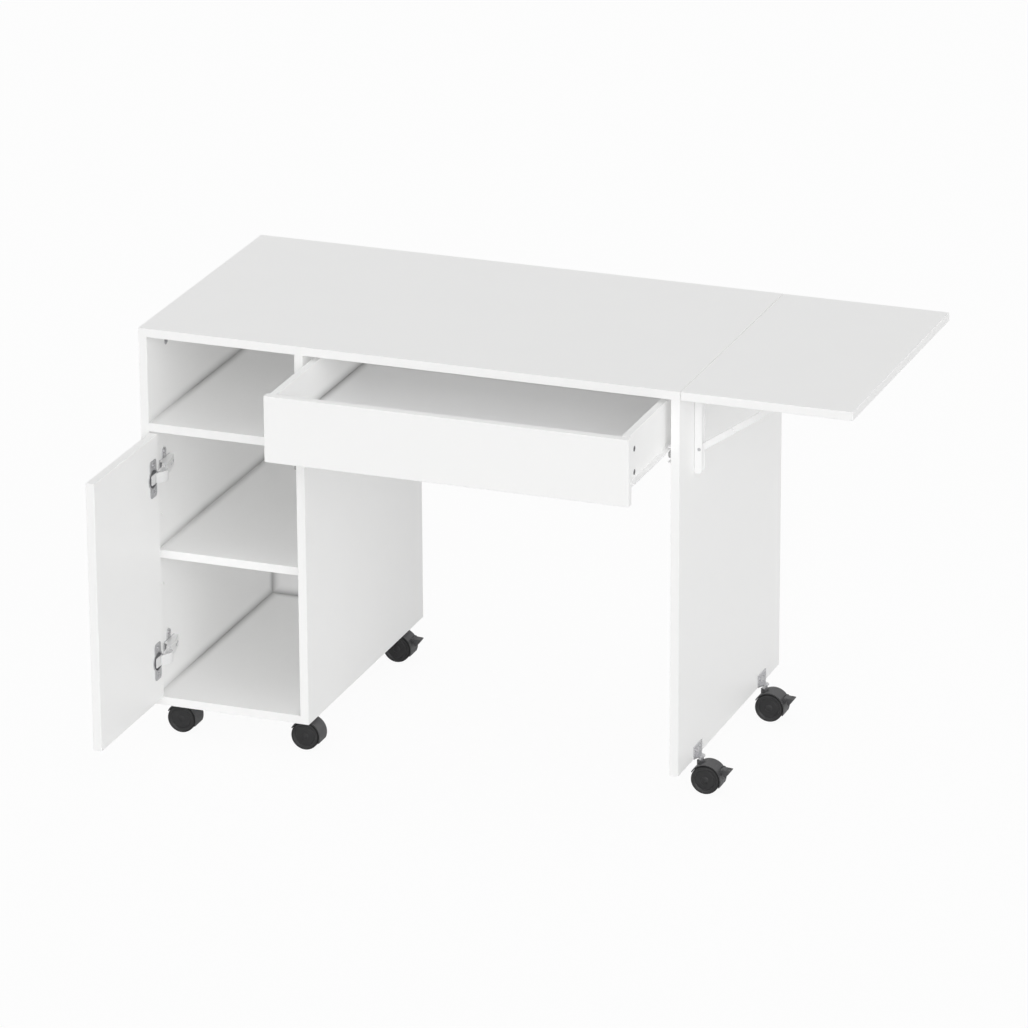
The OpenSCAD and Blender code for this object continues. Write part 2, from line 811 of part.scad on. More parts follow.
module drawer_groove() {
    box([box_in[0] - bottom_groove, board - bottom_groove, drawer_bottom_z - panel_play],
        [box_in[1] + bottom_groove, box_back + cut, drawer_bottom_z + bottom_t + panel_play]);
}

module drawer_front() {
    color(laminate) place() drawer_frame() difference() {
        box([front_x, 0, front_z], [front_x + front_w, board, front_z + front_h]);
        drawer_groove();
    }
}

module drawer_cam(r, l) {
    for (k = [0, 1]) rod_x(0, l, board + drawer_cam_back, drawer_cam_z + k * drawer_cam_pitch, r);
}

module drawer_side() {
    difference() {
        box([0, board, side_z], [side_t, box_back, side_z + side_h]);
        translate([-cut, 0, 0]) drawer_cam(drawer_cam_d / 2, drawer_cam_t + cut);
    }
}

module drawer_left_side() {
    color(laminate) place() drawer_frame() difference() {
        translate([box_x[0], 0, 0]) drawer_side();
        drawer_groove();
    }
}

module drawer_right_side() {
    color(laminate) place() drawer_frame() difference() {
        translate([box_x[1], 0, 0]) mirror([1, 0, 0]) drawer_side();
        drawer_groove();
    }
}

module drawer_back() {
    color(laminate) place() drawer_frame()
        box([box_in[0], box_back - side_t, drawer_bottom_z + bottom_t], [box_in[1], box_back, side_z + side_h]);
}

module drawer_bottom() {
    reach = bottom_groove - panel_play;
    color(back_board) place() drawer_frame()
        box([box_in[0] - reach, board - reach, drawer_bottom_z],
            [box_in[1] + reach, box_back, drawer_bottom_z + bottom_t]);
}

module drawer_cam_locks() {
    color(dark_zinc) place() drawer_frame() at_box_sides()
        difference() {
            drawer_cam(drawer_cam_d / 2 - fastener_play, drawer_cam_t);
            translate([-drawer_cam_t + 1.5, 0, 0]) drawer_cam(drawer_cam_d / 5, drawer_cam_t);
        }
}

// The rail under a drawer side: a foot, a web beside the side, and a lip that runs on the rollers
module drawer_runner() {
    y0 = board + runner_play;
    lip_l = runner_gap - runner_sheet - runner_play;
    web = -runner_sheet;
    box([web, y0, side_z - runner_sheet], [side_t, box_back, side_z]);
    box([web, y0, side_z - runner_sheet], [0, box_back, lip_z + runner_sheet]);
    box([-lip_l, y0, lip_z], [0, box_back, lip_z + runner_sheet]);
    box([web, rear_roller_y - roller_d / 2, rear_roller_z - roller_pin_d], [0, box_back, side_z]);
    rod_x(-lip_l, web, rear_roller_y, rear_roller_z, roller_pin_d / 2);
}

module drawer_runners() {
    color(white_metal) place() drawer_frame() at_box_sides() drawer_runner();
}

module runner_channel() {
    y0 = channel_setback;
    z1 = channel_z + channel_h;
    difference() {
        box([0, y0, channel_z], [channel_d, box_back, z1]);
        box([runner_sheet, y0 - cut, channel_z + runner_sheet],
            [channel_d + cut, box_back + cut, z1 - runner_sheet]);
    }
    rod_x(runner_sheet, channel_d, front_roller_y, roller_z, roller_pin_d / 2);
}

module runner_channels() {
    color(white_metal) place() at_runner_faces() runner_channel();
}

module runner_roller(y, z) {
    x0 = channel_d - roller_w - runner_play / 2;
    difference() {
        rod_x(x0, x0 + roller_w, y, z, roller_d / 2);
        rod_x(x0 - cut, x0 + roller_w + cut, y, z, roller_pin_d / 2 + pivot_play);
    }
}

module runner_front_rollers() {
    color(roller_nylon) place() at_runner_faces() runner_roller(front_roller_y, roller_z);
}

module runner_rear_rollers() {
    color(roller_nylon) place() drawer_frame() at_runner_faces()
        runner_roller(rear_roller_y, rear_roller_z);
}

// Casters

module at_caster(i) {
    translate([caster_at[i].x, caster_at[i].y, 0]) children();
}

module cabinet_caster_plates() {
    color(zinc) place() for (i = [0:3]) at_caster(i) difference() {
        translate([0, 0, under_z - plate_t / 2]) cube([plate_w, plate_w, plate_t], center = true);
        for (x = [-1, 1], y = [-1, 1]) translate([x * plate_w * 0.36, y * plate_w * 0.36, under_z - plate_t - cut])
            cylinder(d = 5, h = plate_t + 2 * cut);
    }
}

// An angle on the leg's face: an upright plate, and a tongue out to the stem
module leg_caster_plate() {
    z0 = under_z;
    half = leg_plate_w / 2;
    difference() {
        union() {
            box([-leg_caster_x, -half, z0], [leg_sheet - leg_caster_x, half, z0 + leg_plate_h]);
            translate([0, 0, z0]) linear_extrude(leg_sheet) {
                circle(leg_tongue);
                polygon([[-leg_caster_x, -half], [0, -leg_tongue], [0, leg_tongue], [-leg_caster_x, half]]);
            }
        }
        for (s = [-1, 1]) rod_x(-leg_caster_x - cut, cut - leg_caster_x + leg_sheet,
            s * half * 0.55, z0 + leg_plate_h * 0.64, 2.5);
    }
}

module leg_caster_plates() {
    color(steel) place() for (i = [4, 5]) at_caster(i) leg_caster_plate();
}

module caster_stems() {
    collar_z = neck_top + collar_gap;
    color(steel) place() for (i = [0:5]) at_caster(i) {
        translate([0, 0, stem_tip]) cylinder(d = stem_d, h = collar_z - stem_tip);
        translate([0, 0, collar_z])
            cylinder(d = i < 4 ? neck_d - 1 : leg_collar_d, h = (i < 4 ? under_z - plate_t : under_z) - collar_z);
    }
}

// The hood: a web between the wheels, a fender over their treads, and a neck for the stem
module caster_hood_body() {
    difference() {
        union() {
            intersection() {
                rod_y(trail, -hood_w / 2, hood_w / 2, wheel_r, hood_r);
                slab_y(-hood_w / 2, hood_w / 2) translate([trail, wheel_r]) rotate([0, 0, -25])
                    translate([-hood_r - cut, 0]) square([2 * (hood_r + cut), hood_r + cut]);
            }
            rod_y(trail, -web_t / 2, web_t / 2, wheel_r, axle_d);
            translate([0, 0, wheel_r]) cylinder(d = neck_d, h = neck_top - wheel_r);
        }
        for (s = [-1, 1]) {
            y0 = s > 0 ? web_t / 2 : -hood_w - web_t / 2;
            rod_y(trail, y0, y0 + hood_w, wheel_r, hood_in);
        }
        rod_y(trail, -web_t, web_t, wheel_r, axle_d / 2 + pivot_play);
        translate([0, 0, stem_tip - 0.5]) cylinder(d = stem_d + 2 * pivot_play, h = neck_top);
    }
}

// Two cheeks on the fender that hold the brake lever's pin
module lever_cheeks() {
    t = 2;
    inner = lever_w / 2 + lever_play;
    for (s = [-1, 1]) {
        y0 = s > 0 ? inner : -inner - t;
        difference() {
            slab_y(y0, y0 + t) {
                translate(lever_at) circle(lever_hub_r + 0.6);
                translate([trail, wheel_r]) rotate([0, 0, lever_a])
                    translate([hood_in + hood_t / 2, -lever_hub_r - 0.6])
                        square([lever_r - hood_in - hood_t / 2, 2 * lever_hub_r + 1.2]);
            }
            rod_y(lever_at.x, y0 - cut, y0 + t + cut, lever_at.y, lever_pin_d / 2 + pivot_play);
        }
    }
}

module caster_hood(i, brake) {
    color(black_nylon) place() at_caster(i) {
        caster_hood_body();
        if (brake) lever_cheeks();
    }
}

module caster_wheel() {
    dish = 1.2;
    rim = 3;
    difference() {
        rotate_extrude() polygon([[0, 0], [wheel_r - 1.5, 0], [wheel_r, 1.5], [wheel_r, wheel_w - 2],
            [wheel_r - 2, wheel_w], [wheel_r - rim, wheel_w], [wheel_r - rim - dish, wheel_w - dish],
            [0, wheel_w - dish]]);
        translate([0, 0, -cut]) cylinder(d = axle_d, h = wheel_w - rim + cut);
    }
}

module caster_wheels(i) {
    y0 = web_t / 2 + wheel_play;
    color(black_nylon) place() at_caster(i) translate([trail, 0, wheel_r]) {
        for (s = [-1, 1]) translate([0, s * y0, 0]) rotate([-90 * s, 0, 0]) caster_wheel();
        rod_y(0, -y0 - wheel_w + 3, y0 + wheel_w - 3, 0, axle_d / 2);
    }
}

module brake_lever(i) {
    half = lever_w / 2;
    color(black_nylon) place() at_caster(i) translate([lever_at.x, 0, lever_at.y]) {
        rod_y(0, -half, half, 0, lever_hub_r);
        rod_y(0, -half - 2, half + 2, 0, lever_pin_d / 2);
        slab_y(-half, half) polygon([[-lever_hub_r / 2, lever_hub_r * 0.85], [0, lever_hub_r],
            [lever_l, lever_hub_r - 1], [lever_l, lever_hub_r - 1 - lever_t], [lever_l / 2, -lever_drop],
            [lever_l / 2 - 3, lever_hub_r / 2 - lever_drop], [lever_hub_r, -lever_hub_r / 2]]);
    }
}

top_panel();
left_side_panel();
divider_panel();
right_leg_panel();
cubby_floor();
bottom_panel();
back_panel();
adjustable_shelf();
shelf_supports();
rear_rail();
cam_locks();
cam_bolts();
runner_channels();
runner_front_rollers();
bracket_wall_arms();
bracket_pivot_pins();
hinge_plates();
hinge_arms();
hinge_links();
hinge_cups();
cabinet_door();
door_catch();
drop_leaf();
bracket_leaf_arms();
bracket_leaf_pins();
brace_lower_links();
brace_upper_links();
drawer_front();
drawer_left_side();
drawer_right_side();
drawer_back();
drawer_bottom();
drawer_cam_locks();
drawer_runners();
runner_rear_rollers();
cabinet_caster_plates();
leg_caster_plates();
caster_stems();
caster_hood(0, false);  // caster_hood_front_left
caster_hood(1, false);  // caster_hood_front_right
caster_hood(2, true);  // caster_hood_back_left
caster_hood(3, true);  // caster_hood_back_right
caster_hood(4, true);  // caster_hood_leg_front
caster_hood(5, true);  // caster_hood_leg_back
caster_wheels(0);  // caster_wheels_front_left
caster_wheels(1);  // caster_wheels_front_right
caster_wheels(2);  // caster_wheels_back_left
caster_wheels(3);  // caster_wheels_back_right
caster_wheels(4);  // caster_wheels_leg_front
caster_wheels(5);  // caster_wheels_leg_back
brake_lever(2);  // brake_lever_back_left
brake_lever(3);  // brake_lever_back_right
brake_lever(4);  // brake_lever_leg_front
brake_lever(5);  // brake_lever_leg_back
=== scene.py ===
"""Folding desk on casters: a white cabinet desk with a drawer, a door and a drop leaf."""

import json
import math

import bmesh
import bpy
import numpy as np
from mathutils import Matrix, Vector


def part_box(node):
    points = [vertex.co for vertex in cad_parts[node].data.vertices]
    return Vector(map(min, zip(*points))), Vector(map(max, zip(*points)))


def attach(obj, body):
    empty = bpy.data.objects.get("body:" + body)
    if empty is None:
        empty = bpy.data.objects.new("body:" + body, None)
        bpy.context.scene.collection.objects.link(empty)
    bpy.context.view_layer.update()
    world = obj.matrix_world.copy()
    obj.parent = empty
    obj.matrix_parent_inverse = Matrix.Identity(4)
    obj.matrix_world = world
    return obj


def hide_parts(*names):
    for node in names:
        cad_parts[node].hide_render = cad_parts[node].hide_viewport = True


bl_info = {
    "name": "Folding Desk",
    "version": (1, 0, 0),
    "blender": (4, 5, 0),
    "location": "3D View > Sidebar > Folding Desk",
    "description": "Dresses a folding desk on casters and sets its studio",
    "category": "Object",
}

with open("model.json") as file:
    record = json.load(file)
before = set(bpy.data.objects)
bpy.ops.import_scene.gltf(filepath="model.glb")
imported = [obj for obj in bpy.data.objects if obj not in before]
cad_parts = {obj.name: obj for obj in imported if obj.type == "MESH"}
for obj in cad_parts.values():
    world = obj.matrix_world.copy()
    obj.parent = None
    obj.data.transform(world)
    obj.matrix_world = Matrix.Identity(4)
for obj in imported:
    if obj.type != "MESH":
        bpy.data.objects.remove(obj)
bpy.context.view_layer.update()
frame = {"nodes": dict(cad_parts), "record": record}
RECORD = frame["record"]
BODY_OF = {
    node: body for body, group in RECORD["behaviour"]["bodies"].items() for node in group
}
SLOT_OF = {part["node"]: part["material_slot"] for part in RECORD["subparts"]}
MM = 0.001

# The pieces, and the two inner places whose boards get painted shade where they meet

BOARDS = (
    "top_panel",
    "left_side_panel",
    "divider_panel",
    "right_leg_panel",
    "cubby_floor",
    "bottom_panel",
    "adjustable_shelf",
    "rear_rail",
    "cabinet_door",
    "drop_leaf",
    "drawer_front",
    "drawer_left_side",
    "drawer_right_side",
    "drawer_back",
)
THIN_BOARDS = ("back_panel", "drawer_bottom")
CABINET_BOARDS = (
    "top_panel",
    "left_side_panel",
    "divider_panel",
    "cubby_floor",
    "bottom_panel",
    "adjustable_shelf",
    "back_panel",
)
DRAWER_BOARDS = (
    "drawer_front",
    "drawer_left_side",
    "drawer_right_side",
    "drawer_back",
    "drawer_bottom",
)
# Boards that get painted shade along the inner edges of the cabinet or the drawer
INSIDE_OF = dict.fromkeys(CABINET_BOARDS, "cabinet") | dict.fromkeys(DRAWER_BOARDS, "drawer")
CASTERS = ("front_left", "front_right", "back_left", "back_right", "leg_front", "leg_back")
BRAKED = CASTERS[2:]

# The painted shade along the inner edges: its reach from an edge, the depth behind the front at
# which it has its whole strength, the share it has at the front, and the share of the board's
# colour that is left on the edge

CORNER_SHADE_REACH = 19 * MM
CORNER_SHADE_FADE = 220 * MM
CORNER_SHADE_FRONT = 0.25
CORNER_SHADE_TONE = 0.5

# Lengths of the solids that no box tells

ARM_HALF = 9.5 * MM  # half the height of a hinge arm
BRACKET_HALF = 9.2 * MM  # half the width of a bracket's arm
PIN_INSET = 3.2 * MM  # from the end of a hinge arm or link to the middle of its pin
BRACKET_SHEET = 1.5 * MM  # sheet of the bracket's arms
RUNNER_SHEET = 1.2 * MM  # sheet of the runners
TYRE_WIDTH = 16 * MM
TYRE_RADIUS = 25  # the radius, in millimetres, that the wheel's profiles are drawn for

# The camera: its place in metres, and the yaw, pitch and roll in radians

CAMERA_PLACE = (3.52828, -9.40216, 4.18896)
CAMERA_TURN = (0.3597, 0.3575, -0.005)

# Finishes that keep their own colours

METALS = {
    "zinc": dict(
        name="Zinc plate",
        light=(0.66, 0.66, 0.67),
        dark=(0.5, 0.5, 0.52),
        grain=1200.0,
        rough=(0.32, 0.48),
        bump=0.12,
        depth=0.01,
        metallic=0.8,
        patch=160.0,
        speck=900.0,
    ),
    "nickel": dict(
        name="Satin nickel",
        light=(0.93, 0.93, 0.93),
        dark=(0.8, 0.8, 0.8),
        grain=900.0,
        rough=(0.3, 0.42),
        bump=0.1,
        depth=0.01,
        metallic=0.45,
        stretch=(1, 1, 4),
        patch=90.0,
        speck=900.0,
    ),
    "steel": dict(
        name="Bright plated steel",
        light=(0.74, 0.74, 0.75),
        dark=(0.58, 0.58, 0.6),
        grain=500.0,
        rough=(0.2, 0.34),
        bump=0.1,
        depth=0.01,
        metallic=1.0,
        stretch=(1, 1, 5),
        patch=60.0,
        speck=900.0,
    ),
    "dark_zinc": dict(
        name="Dark cast zinc",
        light=(0.3, 0.3, 0.305),
        dark=(0.19, 0.19, 0.195),
        grain=1500.0,
        rough=(0.4, 0.55),
        bump=0.25,
        depth=0.03,
        metallic=0.6,
        patch=200.0,
        speck=1200.0,
    ),
}

# Finishes that take a colour of the panel: its name, and the factors of the light and dark tone

COLOURED = {
    "white_laminate": ("laminate", 1.01, 0.985, dict(
        name="White laminate", grain=1400.0, rough=(0.34, 0.42), bump=0.08, depth=0.01)),
    "hardboard": ("hardboard", 1.02, 0.97, dict(
        name="Painted thin board", grain=900.0, rough=(0.5, 0.62), bump=0.15, depth=0.02)),
    "white_metal": ("powder_coat", 1.01, 0.97, dict(
        name="White powder coat", grain=1800.0, rough=(0.36, 0.46), bump=0.2, depth=0.02)),
    "grey_nylon": ("grey_nylon", 1.1, 0.9, dict(
        name="Grey nylon", grain=1500.0, rough=(0.4, 0.5), bump=0.15, depth=0.02)),
    "black_nylon": ("nylon", 0.95, 0.62, dict(
        name="Black nylon", grain=1600.0, rough=(0.38, 0.5), bump=0.2, depth=0.02,
        patch=60.0, speck=1500.0)),
    # The same black nylon made 2 to 2.6 times lighter on hoods and levers: a painted sheen
    "hood_nylon": ("nylon", 2.6, 2.0, dict(
        name="Sheen black nylon", grain=1600.0, rough=(0.36, 0.48), bump=0.2, depth=0.02,
        patch=60.0, speck=1500.0)),
    # A darker copy of the same nylon on a band round each tyre: painted shade of the seam between hood
    # and wheel
    "tread_rubber": ("nylon", 0.32, 0.2, dict(
        name="Dull black tread", grain=1200.0, rough=(0.6, 0.75), bump=0.2, depth=0.02)),
}


class DeskFinishes(bpy.types.PropertyGroup):
    """Colours of the desk's materials, in linear light"""

    laminate: bpy.props.FloatVectorProperty(
        name="Laminate",
        description="Face of the white boards",
        subtype="COLOR",
        size=3,
        min=0,
        max=1,
        default=(0.92, 0.92, 0.915),
    )
    hardboard: bpy.props.FloatVectorProperty(
        name="Thin board",
        description="Painted face of the back panel and the drawer bottom",
        subtype="COLOR",
        size=3,
        min=0,
        max=1,
        default=(0.88, 0.88, 0.88),
    )
    powder_coat: bpy.props.FloatVectorProperty(
        name="Powder coat",
        description="White coat of the brackets and runners",
        subtype="COLOR",
        size=3,
        min=0,
        max=1,
        default=(0.87, 0.87, 0.87),
    )
    nylon: bpy.props.FloatVectorProperty(
        name="Black nylon",
        description="Casters, hoods and brake levers",
        subtype="COLOR",
        size=3,
        min=0,
        max=1,
        default=(0.026, 0.026, 0.027),
    )
    grey_nylon: bpy.props.FloatVectorProperty(
        name="Grey nylon",
        description="Runner rollers and the door catch",
        subtype="COLOR",
        size=3,
        min=0,
        max=1,
        default=(0.4, 0.4, 0.4),
    )


class DeskSizes(bpy.types.PropertyGroup):
    """Small sizes that dress the desk"""

    board_edge: bpy.props.FloatProperty(
        name="Board edge",
        description="Radius that softens the edges of the boards",
        unit="LENGTH",
        default=0.001,
        min=0.0001,
        max=0.002,
    )
    metal_edge: bpy.props.FloatProperty(
        name="Sheet edge",
        description="Radius that softens the edges of the sheet metal",
        unit="LENGTH",
        default=0.00025,
        min=0.00005,
        max=0.0006,
    )
    moulded_edge: bpy.props.FloatProperty(
        name="Moulded edge",
        description="Radius that softens the edges of the moulded nylon",
        unit="LENGTH",
        default=0.0005,
        min=0.0001,
        max=0.001,
    )
    screw_radius: bpy.props.FloatProperty(
        name="Screw head radius",
        description="Radius of the pan heads on brackets and plates",
        unit="LENGTH",
        default=0.0036,
        min=0.002,
        max=0.005,
    )
    screw_height: bpy.props.FloatProperty(
        name="Screw head height",
        description="Height of the pan heads",
        unit="LENGTH",
        default=0.0016,
        min=0.0008,
        max=0.0022,
    )


class DeskStudio(bpy.types.PropertyGroup):
    """Camera and light of the studio"""

    lens: bpy.props.FloatProperty(
        name="Lens",
        description="Focal length on a 36 mm sensor, in millimetres",
        default=223.74,
        min=20,
        max=400,
    )
    sky: bpy.props.FloatProperty(
        name="Sky",
        description="Strength of the even light from all sides",
        default=0.45,
        min=0,
        max=2,
    )
    front_light: bpy.props.FloatProperty(
        name="Front light",
        description="Strength of the soft light from the front",
        default=0.4,
        min=0,
        max=10,
    )
    fill_light: bpy.props.FloatProperty(
        name="Fill light",
        description="Strength of the even light that casts no shadow, from the front and the right",
        default=1.2,
        min=0,
        max=10,
    )
    back_light: bpy.props.FloatProperty(
        name="Back light",
        description="Strength of the even light that casts no shadow, from behind and the left",
        default=0.65,
        min=0,
        max=10,
    )
    side_light: bpy.props.FloatProperty(
        name="Side light",
        description="Strength of the soft light from the right",
        default=0.36,
        min=0,
        max=10,
    )
    top_light: bpy.props.FloatProperty(
        name="Top light",
        description="Strength of the soft light from above",
        default=0.45,
        min=0,
        max=10,
    )


def sizes():
    """The small sizes as they are set in the panel."""
    return bpy.context.scene.desk_sizes


def finishes():
    """The colours as they are set in the panel."""
    return bpy.context.scene.desk_finishes


def studio():
    """The camera's and lamps' values as they are set in the panel."""
    return bpy.context.scene.desk_studio


# Shader groups


def new_group(name, inputs, outputs):
    """An empty shader group with its sockets, and its two end nodes."""
    group = bpy.data.node_groups.new(name, "ShaderNodeTree")
    for label, kind, value in inputs:
        socket = group.interface.new_socket(name=label, in_out="INPUT", socket_type=kind)
        if value is not None:
            socket.default_value = value
    for label, kind in outputs:
        group.interface.new_socket(name=label, in_out="OUTPUT", socket_type=kind)
    return group, group.nodes.new("NodeGroupInput"), group.nodes.new("NodeGroupOutput")


def node_in(tree, kind, **values):
    """A new node of a kind in a node tree, with some of its settings."""
    made = tree.nodes.new(kind)
    for key, value in values.items():
        setattr(made, key, value)
    return made


def mottle_group():
    """Noise in two sizes shifts a colour between a darker and a lighter tone."""
    name = "Tone mottle"
    if name in bpy.data.node_groups:
        return bpy.data.node_groups[name]
    group, ends, out = new_group(
        name,
        [
            ("Vector", "NodeSocketVector", None),
            ("Light tone", "NodeSocketColor", (0.8, 0.8, 0.8, 1)),
            ("Dark tone", "NodeSocketColor", (0.7, 0.7, 0.7, 1)),
            ("Patch size", "NodeSocketFloat", 9.0),
            ("Speck size", "NodeSocketFloat", 700.0),
        ],
        [("Color", "NodeSocketColor")],
    )
    link = group.links.new
    patch = node_in(group, "ShaderNodeTexNoise")
    patch.inputs["Detail"].default_value = 3
    speck = node_in(group, "ShaderNodeTexNoise")
    speck.inputs["Detail"].default_value = 2
    link(ends.outputs["Vector"], patch.inputs["Vector"])
    link(ends.outputs["Vector"], speck.inputs["Vector"])
    link(ends.outputs["Patch size"], patch.inputs["Scale"])
    link(ends.outputs["Speck size"], speck.inputs["Scale"])
    both = node_in(group, "ShaderNodeMath", operation="MULTIPLY_ADD")
    both.inputs[1].default_value = 0.6
    spread = node_in(group, "ShaderNodeMath", operation="MULTIPLY")
    spread.inputs[1].default_value = 0.4
    link(speck.outputs["Fac"], spread.inputs[0])
    link(patch.outputs["Fac"], both.inputs[0])
    link(spread.outputs[0], both.inputs[2])
    mix = node_in(group, "ShaderNodeMix", data_type="RGBA")
    link(both.outputs[0], mix.inputs["Factor"])
    link(ends.outputs["Dark tone"], mix.inputs[6])
    link(ends.outputs["Light tone"], mix.inputs[7])
    link(mix.outputs[2], out.inputs["Color"])
    return group


def grain_group():
    """Fine noise gives a height for the bump and a value for the roughness."""
    name = "Fine grain"
    if name in bpy.data.node_groups:
        return bpy.data.node_groups[name]
    group, ends, out = new_group(
        name,
        [
            ("Vector", "NodeSocketVector", None),
            ("Grain size", "NodeSocketFloat", 900.0),
            ("Low roughness", "NodeSocketFloat", 0.3),
            ("High roughness", "NodeSocketFloat", 0.45),
        ],
        [("Height", "NodeSocketFloat"), ("Roughness", "NodeSocketFloat")],
    )
    link = group.links.new
    noise = node_in(group, "ShaderNodeTexNoise")
    noise.inputs["Detail"].default_value = 3
    link(ends.outputs["Vector"], noise.inputs["Vector"])
    link(ends.outputs["Grain size"], noise.inputs["Scale"])
    wear = node_in(group, "ShaderNodeTexNoise")
    wear.inputs["Scale"].default_value = 22
    wear.inputs["Detail"].default_value = 4
    link(ends.outputs["Vector"], wear.inputs["Vector"])
    rough = node_in(group, "ShaderNodeMapRange")
    link(wear.outputs["Fac"], rough.inputs["Value"])
    link(ends.outputs["Low roughness"], rough.inputs["To Min"])
    link(ends.outputs["High roughness"], rough.inputs["To Max"])
    rough.inputs["From Min"].default_value = 0.3
    rough.inputs["From Max"].default_value = 0.7
    link(noise.outputs["Fac"], out.inputs["Height"])
    link(rough.outputs["Result"], out.inputs["Roughness"])
    return group


def corner_shade_group():
    """Mask of painted shade along the edges inside a box: 1 on an edge, 0 past the reach and outside the
    box.

    The distances to the nearer wall along X, Y and Z are worked out. On a wall the least of them
    is 0, so the middle one is the distance d to the nearest edge, and the mask is
    (1 - d / reach) ** 2. It grows from a share at the front to its whole strength where the fade
    ends. Softened edges lie a little outside the box and still count as inside.
    """
    name = "Inner edges"
    if name in bpy.data.node_groups:
        return bpy.data.node_groups[name]
    group, ends, out = new_group(
        name,
        [
            ("Vector", "NodeSocketVector", None),
            ("Low corner", "NodeSocketVector", None),
            ("High corner", "NodeSocketVector", None),
            ("Reach", "NodeSocketFloat", 0.015),
            ("Front", "NodeSocketFloat", 0.0),
            ("Fade", "NodeSocketFloat", 0.1),
        ],
        [("Mask", "NodeSocketFloat")],
    )
    link = group.links.new

    def pick(operation, first, second):
        made = node_in(group, "ShaderNodeMath", operation=operation)
        link(first, made.inputs[0])
        link(second, made.inputs[1])
        return made.outputs[0]

    from_low = node_in(group, "ShaderNodeVectorMath", operation="SUBTRACT")
    from_high = node_in(group, "ShaderNodeVectorMath", operation="SUBTRACT")
    nearer = node_in(group, "ShaderNodeVectorMath", operation="MINIMUM")
    parts = node_in(group, "ShaderNodeSeparateXYZ")
    link(ends.outputs["Vector"], from_low.inputs[0])
    link(ends.outputs["Low corner"], from_low.inputs[1])
    link(ends.outputs["High corner"], from_high.inputs[0])
    link(ends.outputs["Vector"], from_high.inputs[1])
    link(from_low.outputs["Vector"], nearer.inputs[0])
    link(from_high.outputs["Vector"], nearer.inputs[1])
    link(nearer.outputs["Vector"], parts.inputs["Vector"])
    x, y, z = parts.outputs
    lesser = pick("MINIMUM", x, y)
    least = pick("MINIMUM", lesser, z)
    middle = pick("MAXIMUM", lesser, pick("MINIMUM", pick("MAXIMUM", x, y), z))
    softened = 1.2 * MM
    inside = node_in(group, "ShaderNodeMath", operation="GREATER_THAN")
    inside.inputs[1].default_value = -softened
    link(least, inside.inputs[0])
    fall = node_in(group, "ShaderNodeMapRange")
    fall.inputs["To Min"].default_value = 1
    fall.inputs["To Max"].default_value = 0
    link(middle, fall.inputs["Value"])
    link(ends.outputs["Reach"], fall.inputs["From Max"])
    curve = node_in(group, "ShaderNodeMath", operation="POWER")
    curve.inputs[1].default_value = 2
    link(fall.outputs["Result"], curve.inputs[0])
    spot = node_in(group, "ShaderNodeSeparateXYZ")
    deep = node_in(group, "ShaderNodeMath", operation="SUBTRACT")
    share = node_in(group, "ShaderNodeMapRange")
    share.inputs["To Min"].default_value = CORNER_SHADE_FRONT
    link(ends.outputs["Vector"], spot.inputs["Vector"])
    link(spot.outputs["Y"], deep.inputs[0])
    link(ends.outputs["Front"], deep.inputs[1])
    link(deep.outputs[0], share.inputs["Value"])
    link(ends.outputs["Fade"], share.inputs["From Max"])
    within = pick("MULTIPLY", curve.outputs[0], inside.outputs[0])
    link(pick("MULTIPLY", within, share.outputs["Result"]), out.inputs["Mask"])
    return group


def inner_spaces(place):
    """Low and high corners of the drawer's inside, or of the cubby and the spaces at the shelf, whose
    edges get painted shade.

    An open side lies far out, so its edges take no part.
    """
    far = 1.0
    if place == "drawer":
        left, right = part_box("drawer_left_side"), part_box("drawer_right_side")
        front, back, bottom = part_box("drawer_front"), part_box("drawer_back"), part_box("drawer_bottom")
        low = (left[1].x, front[1].y, bottom[1].z)
        high = (right[0].x, back[0].y, bottom[1].z + far)
        return ((low, high),)
    left, middle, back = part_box("left_side_panel"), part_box("divider_panel"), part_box("back_panel")
    top, floor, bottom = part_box("top_panel"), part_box("cubby_floor"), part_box("bottom_panel")
    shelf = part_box("adjustable_shelf")
    levels = ((floor[1].z, top[0].z), (shelf[1].z, floor[0].z), (bottom[1].z, shelf[0].z))
    return tuple(
        ((left[1].x, left[0].y - far, low), (middle[0].x, back[0].y, high))
        for low, high in levels
    )


def paint_corner_shade(tree, vector, colour, place):
    """Paints shade into a colour along the inner edges of the desk's open spaces, and gives its socket.
    """
    link = tree.links.new
    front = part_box("drawer_front" if place == "drawer" else "left_side_panel")[0].y
    for low, high in inner_spaces(place):
        edges = node_in(tree, "ShaderNodeGroup", node_tree=corner_shade_group())
        edges.inputs["Low corner"].default_value = low
        edges.inputs["High corner"].default_value = high
        edges.inputs["Reach"].default_value = CORNER_SHADE_REACH
        edges.inputs["Front"].default_value = front
        edges.inputs["Fade"].default_value = CORNER_SHADE_FADE
        keep = node_in(tree, "ShaderNodeMapRange")
        keep.inputs["To Min"].default_value = 1
        keep.inputs["To Max"].default_value = CORNER_SHADE_TONE
        toner = node_in(tree, "ShaderNodeVectorMath", operation="SCALE")
        link(vector, edges.inputs["Vector"])
        link(edges.outputs["Mask"], keep.inputs["Value"])
        link(colour, toner.inputs[0])
        link(keep.outputs["Result"], toner.inputs["Scale"])
        colour = toner.outputs["Vector"]
    return colour


